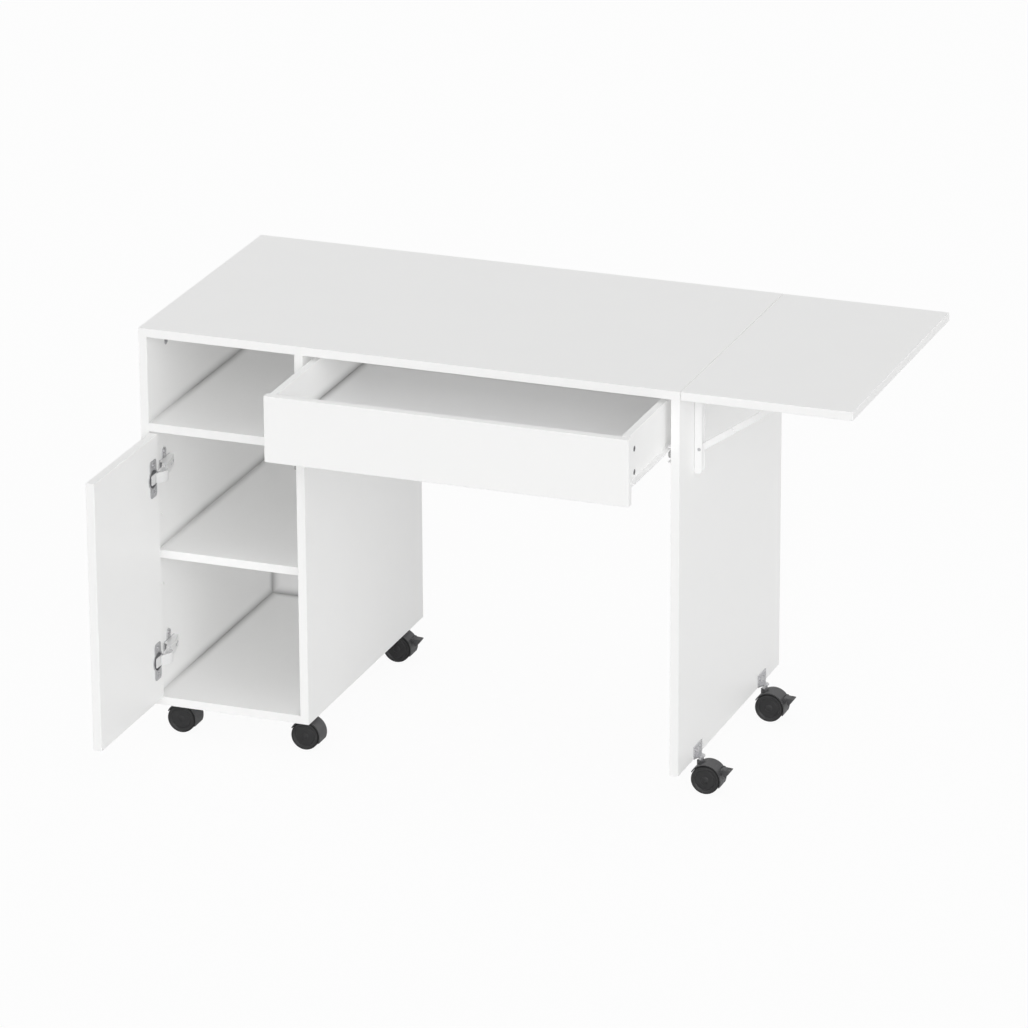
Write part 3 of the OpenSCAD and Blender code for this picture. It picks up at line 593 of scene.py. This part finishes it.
def finish(
    name,
    light,
    dark,
    grain,
    rough,
    bump,
    depth,
    metallic=0.0,
    stretch=(1, 1, 1),
    patch=9.0,
    speck=700.0,
    inside=None,
):
    """A material of two tones with fine grain, worked out on Object coordinates.

    light and dark are the tones; grain, patch and speck the scales of the noise; rough the least
    and the greatest roughness; bump the strength of the grain and depth its height in millimetres.
    """
    found = bpy.data.materials.get(name)
    if found:
        return found
    made = bpy.data.materials.new(name)
    made.use_nodes = True
    tree = made.node_tree
    shader = tree.nodes["Principled BSDF"]
    place = node_in(tree, "ShaderNodeTexCoord")
    turn = node_in(tree, "ShaderNodeMapping")
    turn.inputs["Scale"].default_value = stretch
    tone = node_in(tree, "ShaderNodeGroup", node_tree=mottle_group())
    fine = node_in(tree, "ShaderNodeGroup", node_tree=grain_group())
    relief = node_in(tree, "ShaderNodeBump")
    tone.inputs["Light tone"].default_value = (*light, 1)
    tone.inputs["Dark tone"].default_value = (*dark, 1)
    tone.inputs["Patch size"].default_value = patch
    tone.inputs["Speck size"].default_value = speck
    fine.inputs["Grain size"].default_value = grain
    fine.inputs["Low roughness"].default_value = rough[0]
    fine.inputs["High roughness"].default_value = rough[1]
    relief.inputs["Strength"].default_value = bump
    relief.inputs["Distance"].default_value = depth * MM
    shader.inputs["Metallic"].default_value = metallic
    link = tree.links.new
    link(place.outputs["Object"], turn.inputs["Vector"])
    link(turn.outputs["Vector"], tone.inputs["Vector"])
    link(turn.outputs["Vector"], fine.inputs["Vector"])
    colour = tone.outputs["Color"]
    # Painted shade: the colour is toned down along the inner edges of the cabinet or the drawer
    if inside:
        colour = paint_corner_shade(tree, place.outputs["Object"], colour, inside)
    link(colour, shader.inputs["Base Color"])
    link(fine.outputs["Roughness"], shader.inputs["Roughness"])
    link(fine.outputs["Height"], relief.inputs["Height"])
    link(relief.outputs["Normal"], shader.inputs["Normal"])
    return made


def toned(colour, factor):
    """A colour times a factor, up to white."""
    return tuple(min(1.0, c * factor) for c in colour)


def material_for(slot, inside=None):
    """The finish of a material slot; boards inside the cabinet or drawer have their own, with painted
    shade along the inner edges.
    """
    if slot in METALS:
        return finish(**METALS[slot])
    key, light, dark, values = COLOURED[slot]
    colour = getattr(finishes(), key)
    values = dict(values, light=toned(colour, light), dark=toned(colour, dark))
    if inside:
        # The copy of the finish with painted corner shade is named after its place
        values["name"] += f" in the {inside}"
        values["inside"] = inside
    return finish(**values)


# Meshes


def link_piece(name, mesh, body, slot, replaced=(), look=None, inside=None):
    """Puts a mesh in the scene as a piece that rides on a body.

    look is a finish other than its slot's, and inside the place whose painted corner shade it shows.
    """
    piece = bpy.data.objects.new(name, mesh)
    bpy.context.scene.collection.objects.link(piece)
    mesh.materials.clear()
    mesh.materials.append(material_for(look or slot, inside))
    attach(piece, body)
    if replaced:
        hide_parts(*replaced)
    return piece


def clean_copy(node):
    """The node's mesh with its loose triangles joined and its flat faces whole."""
    mesh = frame["nodes"][node].data.copy()
    for label in ("custom_normal", "sharp_edge", "sharp_face"):
        if label in mesh.attributes:
            mesh.attributes.remove(mesh.attributes[label])
    work = bmesh.new()
    work.from_mesh(mesh)
    bmesh.ops.remove_doubles(work, verts=work.verts, dist=0.002 * MM)
    bmesh.ops.dissolve_limit(
        work, angle_limit=math.radians(0.3), verts=work.verts, edges=work.edges)
    for face in work.faces:
        face.smooth = True
    work.to_mesh(mesh)
    work.free()
    mesh.name = "dressed_" + node
    return mesh


def dress(node, edge, segments=2, look=None):
    """A copy of a node with softened edges that takes the node's place."""
    mesh = clean_copy(node)
    body, slot, inside = BODY_OF[node], SLOT_OF[node], INSIDE_OF.get(node)
    piece = link_piece("dressed_" + node, mesh, body, slot, (node,), look, inside)
    soften = piece.modifiers.new("Softened edges", "BEVEL")
    soften.width = edge
    soften.segments = segments
    soften.limit_method = "ANGLE"
    soften.angle_limit = math.radians(35)
    soften.harden_normals = True
    soften.use_clamp_overlap = True
    return piece


def recolour(node):
    """Gives a node that keeps its own mesh its procedural material."""
    thing = frame["nodes"][node]
    if not thing.material_slots:
        thing.data.materials.append(None)
    thing.material_slots[0].link = "OBJECT"
    thing.material_slots[0].material = material_for(SLOT_OF[node], INSIDE_OF.get(node))


def sheet_faces(rows, columns):
    """Quads of a grid of rows by columns, as indices; the last column joins the first.

    Point (i, j) has the index i * columns + j.
    """
    row = np.arange(rows - 1)[:, None] * columns
    here = np.arange(columns)[None, :]
    after = (here + 1) % columns
    below = row + columns
    quads = np.stack([row + here, row + after, below + after, below + here], -1)
    return quads.reshape(-1, 4)


def mesh_from(name, points, faces):
    """A mesh from whole arrays, with its poles closed and its faces turned outwards."""
    mesh = bpy.data.meshes.new(name)
    mesh.from_pydata(points.reshape(-1, 3), [], faces)
    work = bmesh.new()
    work.from_mesh(mesh)
    bmesh.ops.remove_doubles(work, verts=work.verts, dist=0.001 * MM)
    bmesh.ops.recalc_face_normals(work, faces=work.faces)
    for face in work.faces:
        face.smooth = True
    work.to_mesh(mesh)
    work.free()
    mesh.set_sharp_from_angle(angle=math.radians(38))
    return mesh


def lathe(profile, count):
    """Turns a profile of (radius, height) pairs about Z: x = r cos a, y = r sin a, z = h."""
    outline = np.asarray(profile, float)
    angle = np.linspace(0, 2 * np.pi, count, endpoint=False)
    x = outline[:, :1] * np.cos(angle)
    y = outline[:, :1] * np.sin(angle)
    z = np.repeat(outline[:, 1:], count, axis=1)
    return np.stack([x, y, z], -1)


def facing(axis):
    """A rotation, as a 3 by 3 array, that turns +Z to an axis."""
    turn = Vector(axis).normalized().to_track_quat("Z", "X").to_matrix()
    return np.array(turn)


def screw_head(radius, height):
    """A pan head: h = height * (1 - 0.35 (r / radius) ** 2), with a cross pressed into it.

    The cross is where |x| or |y| is less than a groove's half width, out to its reach.
    """
    r = radius * np.array([0, 0.16, 0.3, 0.42, 0.56, 0.72, 0.88, 0.97, 1.0, 1.0])
    angle = np.linspace(0, 2 * np.pi, 32, endpoint=False)
    x = r[:, None] * np.cos(angle)
    y = r[:, None] * np.sin(angle)
    dome = height * (1 - 0.35 * (r[:, None] / radius) ** 2) * np.ones_like(x)
    dome[-1] = 0
    reach = 0.62 * radius
    groove = 0.15 * radius
    narrow = np.minimum(np.abs(x), np.abs(y)) < groove
    within = np.hypot(x, y) < reach
    sunk = 0.55 * height
    z = np.where(narrow & within, dome - sunk, dome)
    return np.stack([x, y, z], -1), sheet_faces(len(r), len(angle))


def thin_plate(width, length, height):
    """A thin plate with round corners: |x / a| ** n + |y / b| ** n = 1, with n = 8."""
    angle = np.linspace(0, 2 * np.pi, 48, endpoint=False)
    c, s = np.cos(angle), np.sin(angle)
    fall = (np.abs(c) ** 8 + np.abs(s) ** 8) ** (-1 / 8)
    rows = np.array([(0, 1.0), (0.97, 1.0), (1.0, 0.7), (1.0, 0.0)])
    x = rows[:, :1] * width / 2 * fall * c
    y = rows[:, :1] * length / 2 * fall * s
    z = rows[:, 1:] * height * np.ones_like(x)
    return np.stack([x, y, z], -1), sheet_faces(len(rows), len(angle))


def bent_strip(corners, widths, thickness, middle):
    """A strip along a cubic Bezier path in the XY plane, p(t) = sum of b_i(t) * corner_i.

    Its section is |u / a| ** 6 + |v / b| ** 6 = 1, with u across the path and v along Z. Its width
    goes from the first to the second value over the first quarter. middle is its height in Z.
    """
    steps = 40
    t = np.linspace(0, 1, steps)[:, None]
    weights = np.concatenate([(1 - t) ** 3, 3 * t * (1 - t) ** 2, 3 * t ** 2 * (1 - t), t ** 3], 1)
    path = weights @ np.asarray(corners)
    along = np.gradient(path, axis=0)
    along /= np.linalg.norm(along, axis=1)[:, None]
    out = np.stack([along[:, 1], -along[:, 0]], -1)
    ends = np.r_[0, 0:steps, steps - 1]
    swell = np.r_[0, 0.8, np.ones(steps - 2), 0.8, 0][:, None]
    turn = np.linspace(0, 2 * np.pi, 24, endpoint=False)
    c, s = np.cos(turn), np.sin(turn)
    fall = (np.abs(c) ** 6 + np.abs(s) ** 6) ** (-1 / 6)
    wide = (widths[0] + (widths[1] - widths[0]) * np.minimum(1, 4 * t))[ends]
    u = swell * thickness / 2 * fall * c
    v = swell * wide / 2 * fall * s
    x = path[ends, :1] + out[ends, :1] * u
    y = path[ends, 1:] + out[ends, 1:] * u
    return np.stack([x, y, middle + v], -1), sheet_faces(len(ends), len(turn))


def many(shape, places):
    """Repeats a grid of points at places, each a point and the axis that +Z turns to."""
    points, faces = shape
    flat = points.reshape(-1, 3)
    out = [flat @ facing(axis).T + np.asarray(at) for at, axis in places]
    shift = np.arange(len(places))[:, None, None] * len(flat)
    return np.concatenate(out), (faces[None] + shift).reshape(-1, 4)


def turned_pair(profile, count, centre, offset):
    """A profile turned about Y on both sides of a centre, facing outwards: points and faces."""
    faces = sheet_faces(len(profile), count)
    points, sheets = [], []
    for side in (-1, 1):
        turned = lathe(profile, count).reshape(-1, 3) @ facing((0, side, 0)).T
        sheets.append(faces + len(points) * len(turned))
        points.append(turned + np.array([centre.x, centre.y + side * offset, centre.z]))
    return points, sheets


def screws(name, body, slot, places, scale=1.0):
    """Pan heads at places, as one piece."""
    s = sizes()
    points, faces = many(screw_head(s.screw_radius * scale, s.screw_height * scale), places)
    return link_piece(name, mesh_from(name, points, faces), body, slot)


# Places worked out from the nodes' boxes


def hinge_heights():
    """Heights of the middles of the lower and the upper hinge."""
    low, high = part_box("hinge_arms")
    return low.z + ARM_HALF, high.z - ARM_HALF


def bracket_rows():
    """Places along Y of the middles of the front and the rear bracket."""
    low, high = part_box("bracket_wall_arms")
    return low.y + BRACKET_HALF, high.y - BRACKET_HALF


class DESK_OT_boards(bpy.types.Operator):
    """Dresses the boards with softened edges and their laminate"""

    bl_idname = "desk.boards"
    bl_label = "Boards"

    def execute(self, context):
        for node in BOARDS:
            dress(node, sizes().board_edge)
        for node in THIN_BOARDS:
            recolour(node)
        return {"FINISHED"}


class DESK_OT_fasteners(bpy.types.Operator):
    """Dresses the cam locks, bolts and shelf supports"""

    bl_idname = "desk.fasteners"
    bl_label = "Fasteners"

    def execute(self, context):
        for node in ("cam_locks", "drawer_cam_locks", "shelf_supports"):
            dress(node, sizes().metal_edge)
        recolour("cam_bolts")
        return {"FINISHED"}


class DESK_OT_runners(bpy.types.Operator):
    """Dresses the drawer runners, their rollers and the screws below them"""

    bl_idname = "desk.runners"
    bl_label = "Drawer runners"

    def execute(self, context):
        for node in ("runner_channels", "drawer_runners"):
            dress(node, sizes().metal_edge)
        for node in ("runner_front_rollers", "runner_rear_rollers"):
            dress(node, sizes().moulded_edge)
        low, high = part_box("drawer_left_side")
        right_low, right_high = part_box("drawer_right_side")
        foot = low.z - RUNNER_SHEET
        inset = 45 * MM
        places = [
            ((x, y, foot), (0, 0, -1))
            for x in ((low.x + high.x) / 2, (right_low.x + right_high.x) / 2)
            for y in np.linspace(low.y + inset, high.y - inset, 3)
        ]
        screws("runner_screws", "drawer", "zinc", places, 0.9)
        return {"FINISHED"}


class DESK_OT_brackets(bpy.types.Operator):
    """Dresses the folding leaf brackets and adds their screws"""

    bl_idname = "desk.brackets"
    bl_label = "Leaf brackets"

    def execute(self, context):
        for node in (
            "bracket_wall_arms",
            "bracket_leaf_arms",
            "brace_lower_links",
            "brace_upper_links",
            "bracket_pivot_pins",
            "bracket_leaf_pins",
        ):
            dress(node, sizes().metal_edge)
        wall_low, wall_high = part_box("bracket_wall_arms")
        leaf_low, leaf_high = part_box("bracket_leaf_arms")
        wall = [
            ((wall_low.x + BRACKET_SHEET, y, z), (1, 0, 0))
            for y in bracket_rows()
            for z in (wall_low.z + 14 * MM, wall_low.z + 62 * MM, wall_high.z - 30 * MM)
        ]
        screws("bracket_wall_screws", "root", "zinc", wall)
        leaf = [
            ((x, y, leaf_high.z - BRACKET_SHEET), (0, 0, -1))
            for y in bracket_rows()
            for x in (leaf_low.x + 30 * MM, leaf_low.x + 82 * MM, leaf_high.x - 30 * MM)
        ]
        screws("bracket_leaf_screws", "leaf", "zinc", leaf)
        return {"FINISHED"}


class DESK_OT_hinges(bpy.types.Operator):
    """Dresses the concealed hinges and the catch, and adds their screws"""

    bl_idname = "desk.hinges"
    bl_label = "Door hinges"

    def execute(self, context):
        for node in ("hinge_plates", "hinge_cups"):
            dress(node, sizes().metal_edge)
        for node in ("hinge_arms", "hinge_links"):
            dress(node, sizes().metal_edge, look="nickel")
        dress("door_catch", sizes().moulded_edge)
        plate_low, plate_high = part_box("hinge_plates")
        cup_low, cup_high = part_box("hinge_cups")
        arm_low, arm_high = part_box("hinge_arms")
        cup_y = (cup_low.y + cup_high.y) / 2
        plate_y = arm_low.y + 38.6 * MM
        plate, arm, cup = [], [], []
        for z in hinge_heights():
            for side in (-1, 1):
                plate.append(((plate_high.x, plate_y, z + side * 20.5 * MM), (1, 0, 0)))
                cup.append(((cup_high.x - 1.8 * MM, cup_y, z + side * 24 * MM), (1, 0, 0)))
            for back in (33 * MM, 47 * MM):
                arm.append((self.arm_top(arm_low, arm_high, back, z), (30, 7, 0)))
        screws("hinge_plate_screws", "root", "steel", plate)
        screws("hinge_arm_screws", "root", "steel", arm, 0.75)
        screws("hinge_cup_screws", "door", "steel", cup)
        self.lids(cup_high.x, cup_y)
        self.outer_links()
        return {"FINISHED"}

    def arm_top(self, low, high, back, z):
        """A point on an arm's sloping top, which falls by 7 in 30 behind its first 26 mm."""
        x = high.x - 1.2 * MM - (back - 26 * MM) * 7 / 30
        return x, low.y + PIN_INSET + back, z

    def lids(self, face, y):
        """A thin lid on each cup, with its middle 1.5 mm before the cup's."""
        name = "hinge_lids"
        places = [((face - 0.05 * MM, y - 1.5 * MM, z), (1, 0, 0)) for z in hinge_heights()]
        points, faces = many(thin_plate(18 * MM, 24 * MM, 0.5 * MM), places)
        link_piece(name, mesh_from(name, points, faces), "door", "steel", look="nickel")

    def outer_links(self):
        """A strip for each hinge that bows from the link's pin over the cup."""
        name = "hinge_outer_links"
        low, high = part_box("hinge_links")
        pin = np.array([low.x + PIN_INSET, high.y - PIN_INSET])
        bends = pin + np.array([(2.6, -2.2), (26, -18.5), (16, -26.5), (5.8, -43.5)]) * MM
        widths = (15.6 * MM, 18.6 * MM)
        strips = [bent_strip(bends, widths, 1.3 * MM, z) for z in hinge_heights()]
        points = np.stack([strip[0] for strip in strips])
        count = points[0].size // 3
        faces = np.concatenate([strip[1] + i * count for i, strip in enumerate(strips)])
        link_piece(name, mesh_from(name, points, faces), "door_links", "steel", look="nickel")


class DESK_OT_casters(bpy.types.Operator):
    """Dresses the casters: plates, stems, hoods, wheels and brake levers"""

    bl_idname = "desk.casters"
    bl_label = "Casters"

    def span(self, node):
        """Centre of a pair of wheels, their radius, and where each tyre's inner face is from it."""
        low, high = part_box(node)
        return (low + high) / 2, (high.z - low.z) / 2, (high.y - low.y) / 2 - TYRE_WIDTH

    def wheel(self, node):
        """Two tyres turned from one profile, on an axle along Y."""
        centre, r, gap = self.span(node)
        k = r / (TYRE_RADIUS * MM)
        profile = np.array([
            (0, 15.4), (5.2, 15.4), (5.8, 15.0), (6.4, 14.4), (16.4, 14.4), (17.0, 13.9),
            (17.6, 13.9), (18.2, 14.5), (20.4, 15.4), (22.0, 15.9), (22.8, 16.0), (23.8, 15.7),
            (24.4, 15.0), (24.7, 14.0), (24.8, 12.5), (24.8, 3.0), (24.6, 1.4), (24.2, 0.5),
            (23.4, 0.1), (22.5, 0.0), (0, 0)]) * k * MM
        points, sheets = turned_pair(profile, 64, centre, gap)
        axle = lathe(np.array([(0, -gap), (3, -gap), (3, gap), (0, gap)]) * (MM, 1), 24)
        sheets.append(sheet_faces(len(axle), 24) + 2 * len(points[0]))
        points.append(axle.reshape(-1, 3) @ facing((0, 1, 0)).T + np.array(centre))
        name = "tyres_" + node
        mesh = mesh_from(name, np.concatenate(points), np.concatenate(sheets))
        return link_piece(name, mesh, BODY_OF[node], SLOT_OF[node], (node,))

    def treads(self, node):
        """A thin band of painted shade round each tyre, for the dark seam between hood and wheel, turned
        from a closed profile.

        Its shoulder lies on the side face.
        """
        centre, r, gap = self.span(node)
        profile = np.array([
            (23.5, 15.5), (23.55, 15.82), (23.9, 15.8), (24.5, 15.15), (24.85, 14.1),
            (25.0, 12.6), (25.0, 3.0), (24.75, 1.3), (24.0, 1.3), (23.5, 15.5)]) * r / TYRE_RADIUS
        points, sheets = turned_pair(profile, 64, centre, gap)
        name = "treads_" + node
        mesh = mesh_from(name, np.concatenate(points), np.concatenate(sheets))
        return link_piece(name, mesh, BODY_OF[node], SLOT_OF[node], look="tread_rubber")

    def ribs(self, node):
        """Grip ribs across the lever: half rounds along Y at three places.

        A rib is x = r cos a, z = h sin a, with a from 0 to 180 degrees. The lever's top falls by
        1 in 16 towards its end.
        """
        low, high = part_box(node)
        half = (high.y - low.y) / 2 - 3 * MM
        turn = np.linspace(0, np.pi, 9)
        across = np.array([-1, -1, 1, 1])
        size = np.array([0, 1, 1, 0])
        count = len(size) * len(turn)
        points, sheets = [], []
        for i, back in enumerate((2.6 * MM, 5.0 * MM, 7.4 * MM)):
            x = high.x - back + 0.6 * MM * np.cos(turn)[None] * size[:, None]
            y = (low.y + high.y) / 2 + half * across[:, None] * np.ones_like(turn)
            fall = (16 * MM - back) / 16
            z = high.z - fall + (0.45 * np.sin(turn)[None] * size[:, None] - 0.05) * MM
            points.append(np.stack([x, y, z], -1).reshape(-1, 3))
            sheets.append(sheet_faces(len(size), len(turn)) + i * count)
        name = "ribs_" + node
        mesh = mesh_from(name, np.concatenate(points), np.concatenate(sheets))
        return link_piece(name, mesh, BODY_OF[node], SLOT_OF[node], look="hood_nylon")

    def execute(self, context):
        for node in ("cabinet_caster_plates", "leg_caster_plates", "caster_stems"):
            dress(node, sizes().metal_edge)
        # Hoods and brake levers take the lighter nylon with painted sheen
        for which in CASTERS:
            dress("caster_hood_" + which, sizes().moulded_edge, look="hood_nylon")
            wheels = "caster_wheels_" + which
            self.wheel(wheels)
            self.treads(wheels)
        for which in BRAKED:
            lever = "brake_lever_" + which
            dress(lever, sizes().moulded_edge, look="hood_nylon")
            self.ribs(lever)
        low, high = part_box("cabinet_caster_plates")
        hole = 13.68 * MM  # from a plate's middle to its screw holes, along X and Y
        middle = 19 * MM  # half the side of a plate
        under = [
            ((x + i * hole, y + j * hole, low.z), (0, 0, -1))
            for x in (low.x + middle, high.x - middle)
            for y in (low.y + middle, high.y - middle)
            for i in (-1, 1)
            for j in (-1, 1)
        ]
        screws("caster_plate_screws", "root", "zinc", under, 0.9)
        low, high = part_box("leg_caster_plates")
        sheet = 2 * MM
        middle = 20 * MM  # half the length of an angle plate
        side = [
            ((low.x + sheet, y + j * 11 * MM, low.z + 14.1 * MM), (1, 0, 0))
            for y in (low.y + middle, high.y - middle)
            for j in (-1, 1)
        ]
        screws("leg_plate_screws", "root", "zinc", side)
        return {"FINISHED"}


class DESK_OT_studio(bpy.types.Operator):
    """Sets the floor, the light and the camera"""

    bl_idname = "desk.studio"
    bl_label = "Studio"

    def floor(self):
        """A flat pale floor whose camera colour is near white and keeps the shadow."""
        mesh = bpy.data.meshes.new("studio_floor")
        far = 40
        low = -0.2 * MM
        corners = [(-far, -far, low), (far, -far, low), (far, far, low), (-far, far, low)]
        mesh.from_pydata(corners, [], [(0, 1, 2, 3)])
        floor = bpy.data.objects.new("studio_floor", mesh)
        bpy.context.scene.collection.objects.link(floor)
        made = bpy.data.materials.new("Studio floor")
        made.use_nodes = True
        tree = made.node_tree
        shader = tree.nodes["Principled BSDF"]
        shader.inputs["Base Color"].default_value = (0.78, 0.78, 0.78, 1)
        shader.inputs["Roughness"].default_value = 0.9
        shader.inputs["Specular IOR Level"].default_value = 0.1
        glow = node_in(tree, "ShaderNodeEmission")
        glow.inputs["Strength"].default_value = 1
        ray = node_in(tree, "ShaderNodeLightPath")
        share = node_in(tree, "ShaderNodeMath", operation="MULTIPLY")
        share.inputs[1].default_value = 0.94
        mix = node_in(tree, "ShaderNodeMixShader")
        tree.links.new(ray.outputs["Is Camera Ray"], share.inputs[0])
        tree.links.new(share.outputs[0], mix.inputs["Fac"])
        tree.links.new(shader.outputs[0], mix.inputs[1])
        tree.links.new(glow.outputs[0], mix.inputs[2])
        tree.links.new(mix.outputs[0], tree.nodes["Material Output"].inputs["Surface"])
        mesh.materials.append(made)

    def sky(self):
        """Even light from all sides, white to the camera and in metal."""
        world = bpy.data.worlds.new("Studio")
        bpy.context.scene.world = world
        world.use_nodes = True
        tree = world.node_tree
        even = tree.nodes["Background"]
        even.inputs["Color"].default_value = (1, 1, 1, 1)
        even.inputs["Strength"].default_value = studio().sky
        white = node_in(tree, "ShaderNodeBackground")
        white.inputs["Strength"].default_value = 1
        ray = node_in(tree, "ShaderNodeLightPath")
        seen = node_in(tree, "ShaderNodeMath", operation="MAXIMUM")
        mix = node_in(tree, "ShaderNodeMixShader")
        tree.links.new(ray.outputs["Is Camera Ray"], seen.inputs[0])
        tree.links.new(ray.outputs["Is Glossy Ray"], seen.inputs[1])
        tree.links.new(seen.outputs[0], mix.inputs["Fac"])
        tree.links.new(even.outputs[0], mix.inputs[1])
        tree.links.new(white.outputs[0], mix.inputs[2])
        tree.links.new(mix.outputs[0], tree.nodes["World Output"].inputs["Surface"])

    def lamps(self):
        """Five suns: strength, angle in degrees, the way to each, and whether it casts a shadow.

        One that casts no shadow isn't seen in shiny faces.
        """
        s = studio()
        for name, strength, spread, way, shadow in (
            ("Front light", s.front_light, 24, (0.3, -0.87, 0.38), True),
            ("Fill light", s.fill_light, 60, (0.57, -0.75, 0.32), False),
            ("Back light", s.back_light, 60, (-0.7, 0.7, 0.06), False),
            ("Side light", s.side_light, 40, (0.83, -0.45, 0.22), True),
            ("Top light", s.top_light, 50, (0.05, -0.1, 1.0), True),
        ):
            data = bpy.data.lights.new(name, "SUN")
            data.energy = strength
            data.angle = math.radians(spread)
            data.use_shadow = shadow
            lamp = bpy.data.objects.new(name, data)
            lamp.rotation_euler = Vector(way).to_track_quat("Z", "Y").to_euler()
            lamp.visible_glossy = shadow
            bpy.context.scene.collection.objects.link(lamp)

    def camera(self):
        """The view: yaw and pitch turn the line of sight, and roll turns the picture about it."""
        yaw, pitch, roll = CAMERA_TURN
        ahead = Vector((-math.sin(yaw), math.cos(yaw), 0))
        side = Vector((math.cos(yaw), math.sin(yaw), 0))
        up = Vector((0, 0, 1))
        sight = math.cos(pitch) * ahead - math.sin(pitch) * up
        rise = math.sin(pitch) * ahead + math.cos(pitch) * up
        right = math.cos(roll) * side + math.sin(roll) * rise
        top = -math.sin(roll) * side + math.cos(roll) * rise
        data = bpy.data.cameras.new("View")
        data.lens = studio().lens
        data.sensor_width = 36
        data.sensor_fit = "HORIZONTAL"
        data.clip_end = 200
        eye = bpy.data.objects.new("View", data)
        turn = Matrix((right, top, -sight)).transposed().to_4x4()
        eye.matrix_world = Matrix.Translation(CAMERA_PLACE) @ turn
        bpy.context.scene.collection.objects.link(eye)
        bpy.context.scene.camera = eye

    def execute(self, context):
        context.scene.view_settings.view_transform = "Standard"
        self.floor()
        self.sky()
        self.lamps()
        self.camera()
        return {"FINISHED"}


class DESK_PT_panel(bpy.types.Panel):
    """The desk's values and its operators"""

    bl_idname = "DESK_PT_panel"
    bl_label = "Folding Desk"
    bl_space_type = "VIEW_3D"
    bl_region_type = "UI"
    bl_category = "Folding Desk"

    def draw(self, context):
        layout = self.layout
        scene = context.scene
        for group in (scene.desk_finishes, scene.desk_sizes, scene.desk_studio):
            box = layout.box()
            for key in group.__annotations__:
                box.prop(group, key)
        for operator in OPERATORS:
            layout.operator(operator.bl_idname)


OPERATORS = (
    DESK_OT_boards,
    DESK_OT_fasteners,
    DESK_OT_runners,
    DESK_OT_brackets,
    DESK_OT_hinges,
    DESK_OT_casters,
    DESK_OT_studio,
)
GROUPS = (
    ("desk_finishes", DeskFinishes),
    ("desk_sizes", DeskSizes),
    ("desk_studio", DeskStudio),
)


def register():
    for key, group in GROUPS:
        bpy.utils.register_class(group)
        setattr(bpy.types.Scene, key, bpy.props.PointerProperty(type=group))
    for operator in OPERATORS:
        bpy.utils.register_class(operator)
    bpy.utils.register_class(DESK_PT_panel)


def unregister():
    bpy.utils.unregister_class(DESK_PT_panel)
    for operator in reversed(OPERATORS):
        bpy.utils.unregister_class(operator)
    for key, group in reversed(GROUPS):
        delattr(bpy.types.Scene, key)
        bpy.utils.unregister_class(group)


def main():
    register()
    bpy.ops.desk.boards()
    bpy.ops.desk.fasteners()
    bpy.ops.desk.runners()
    bpy.ops.desk.brackets()
    bpy.ops.desk.hinges()
    bpy.ops.desk.casters()
    bpy.ops.desk.studio()


if __name__ == "__main__":
    main()
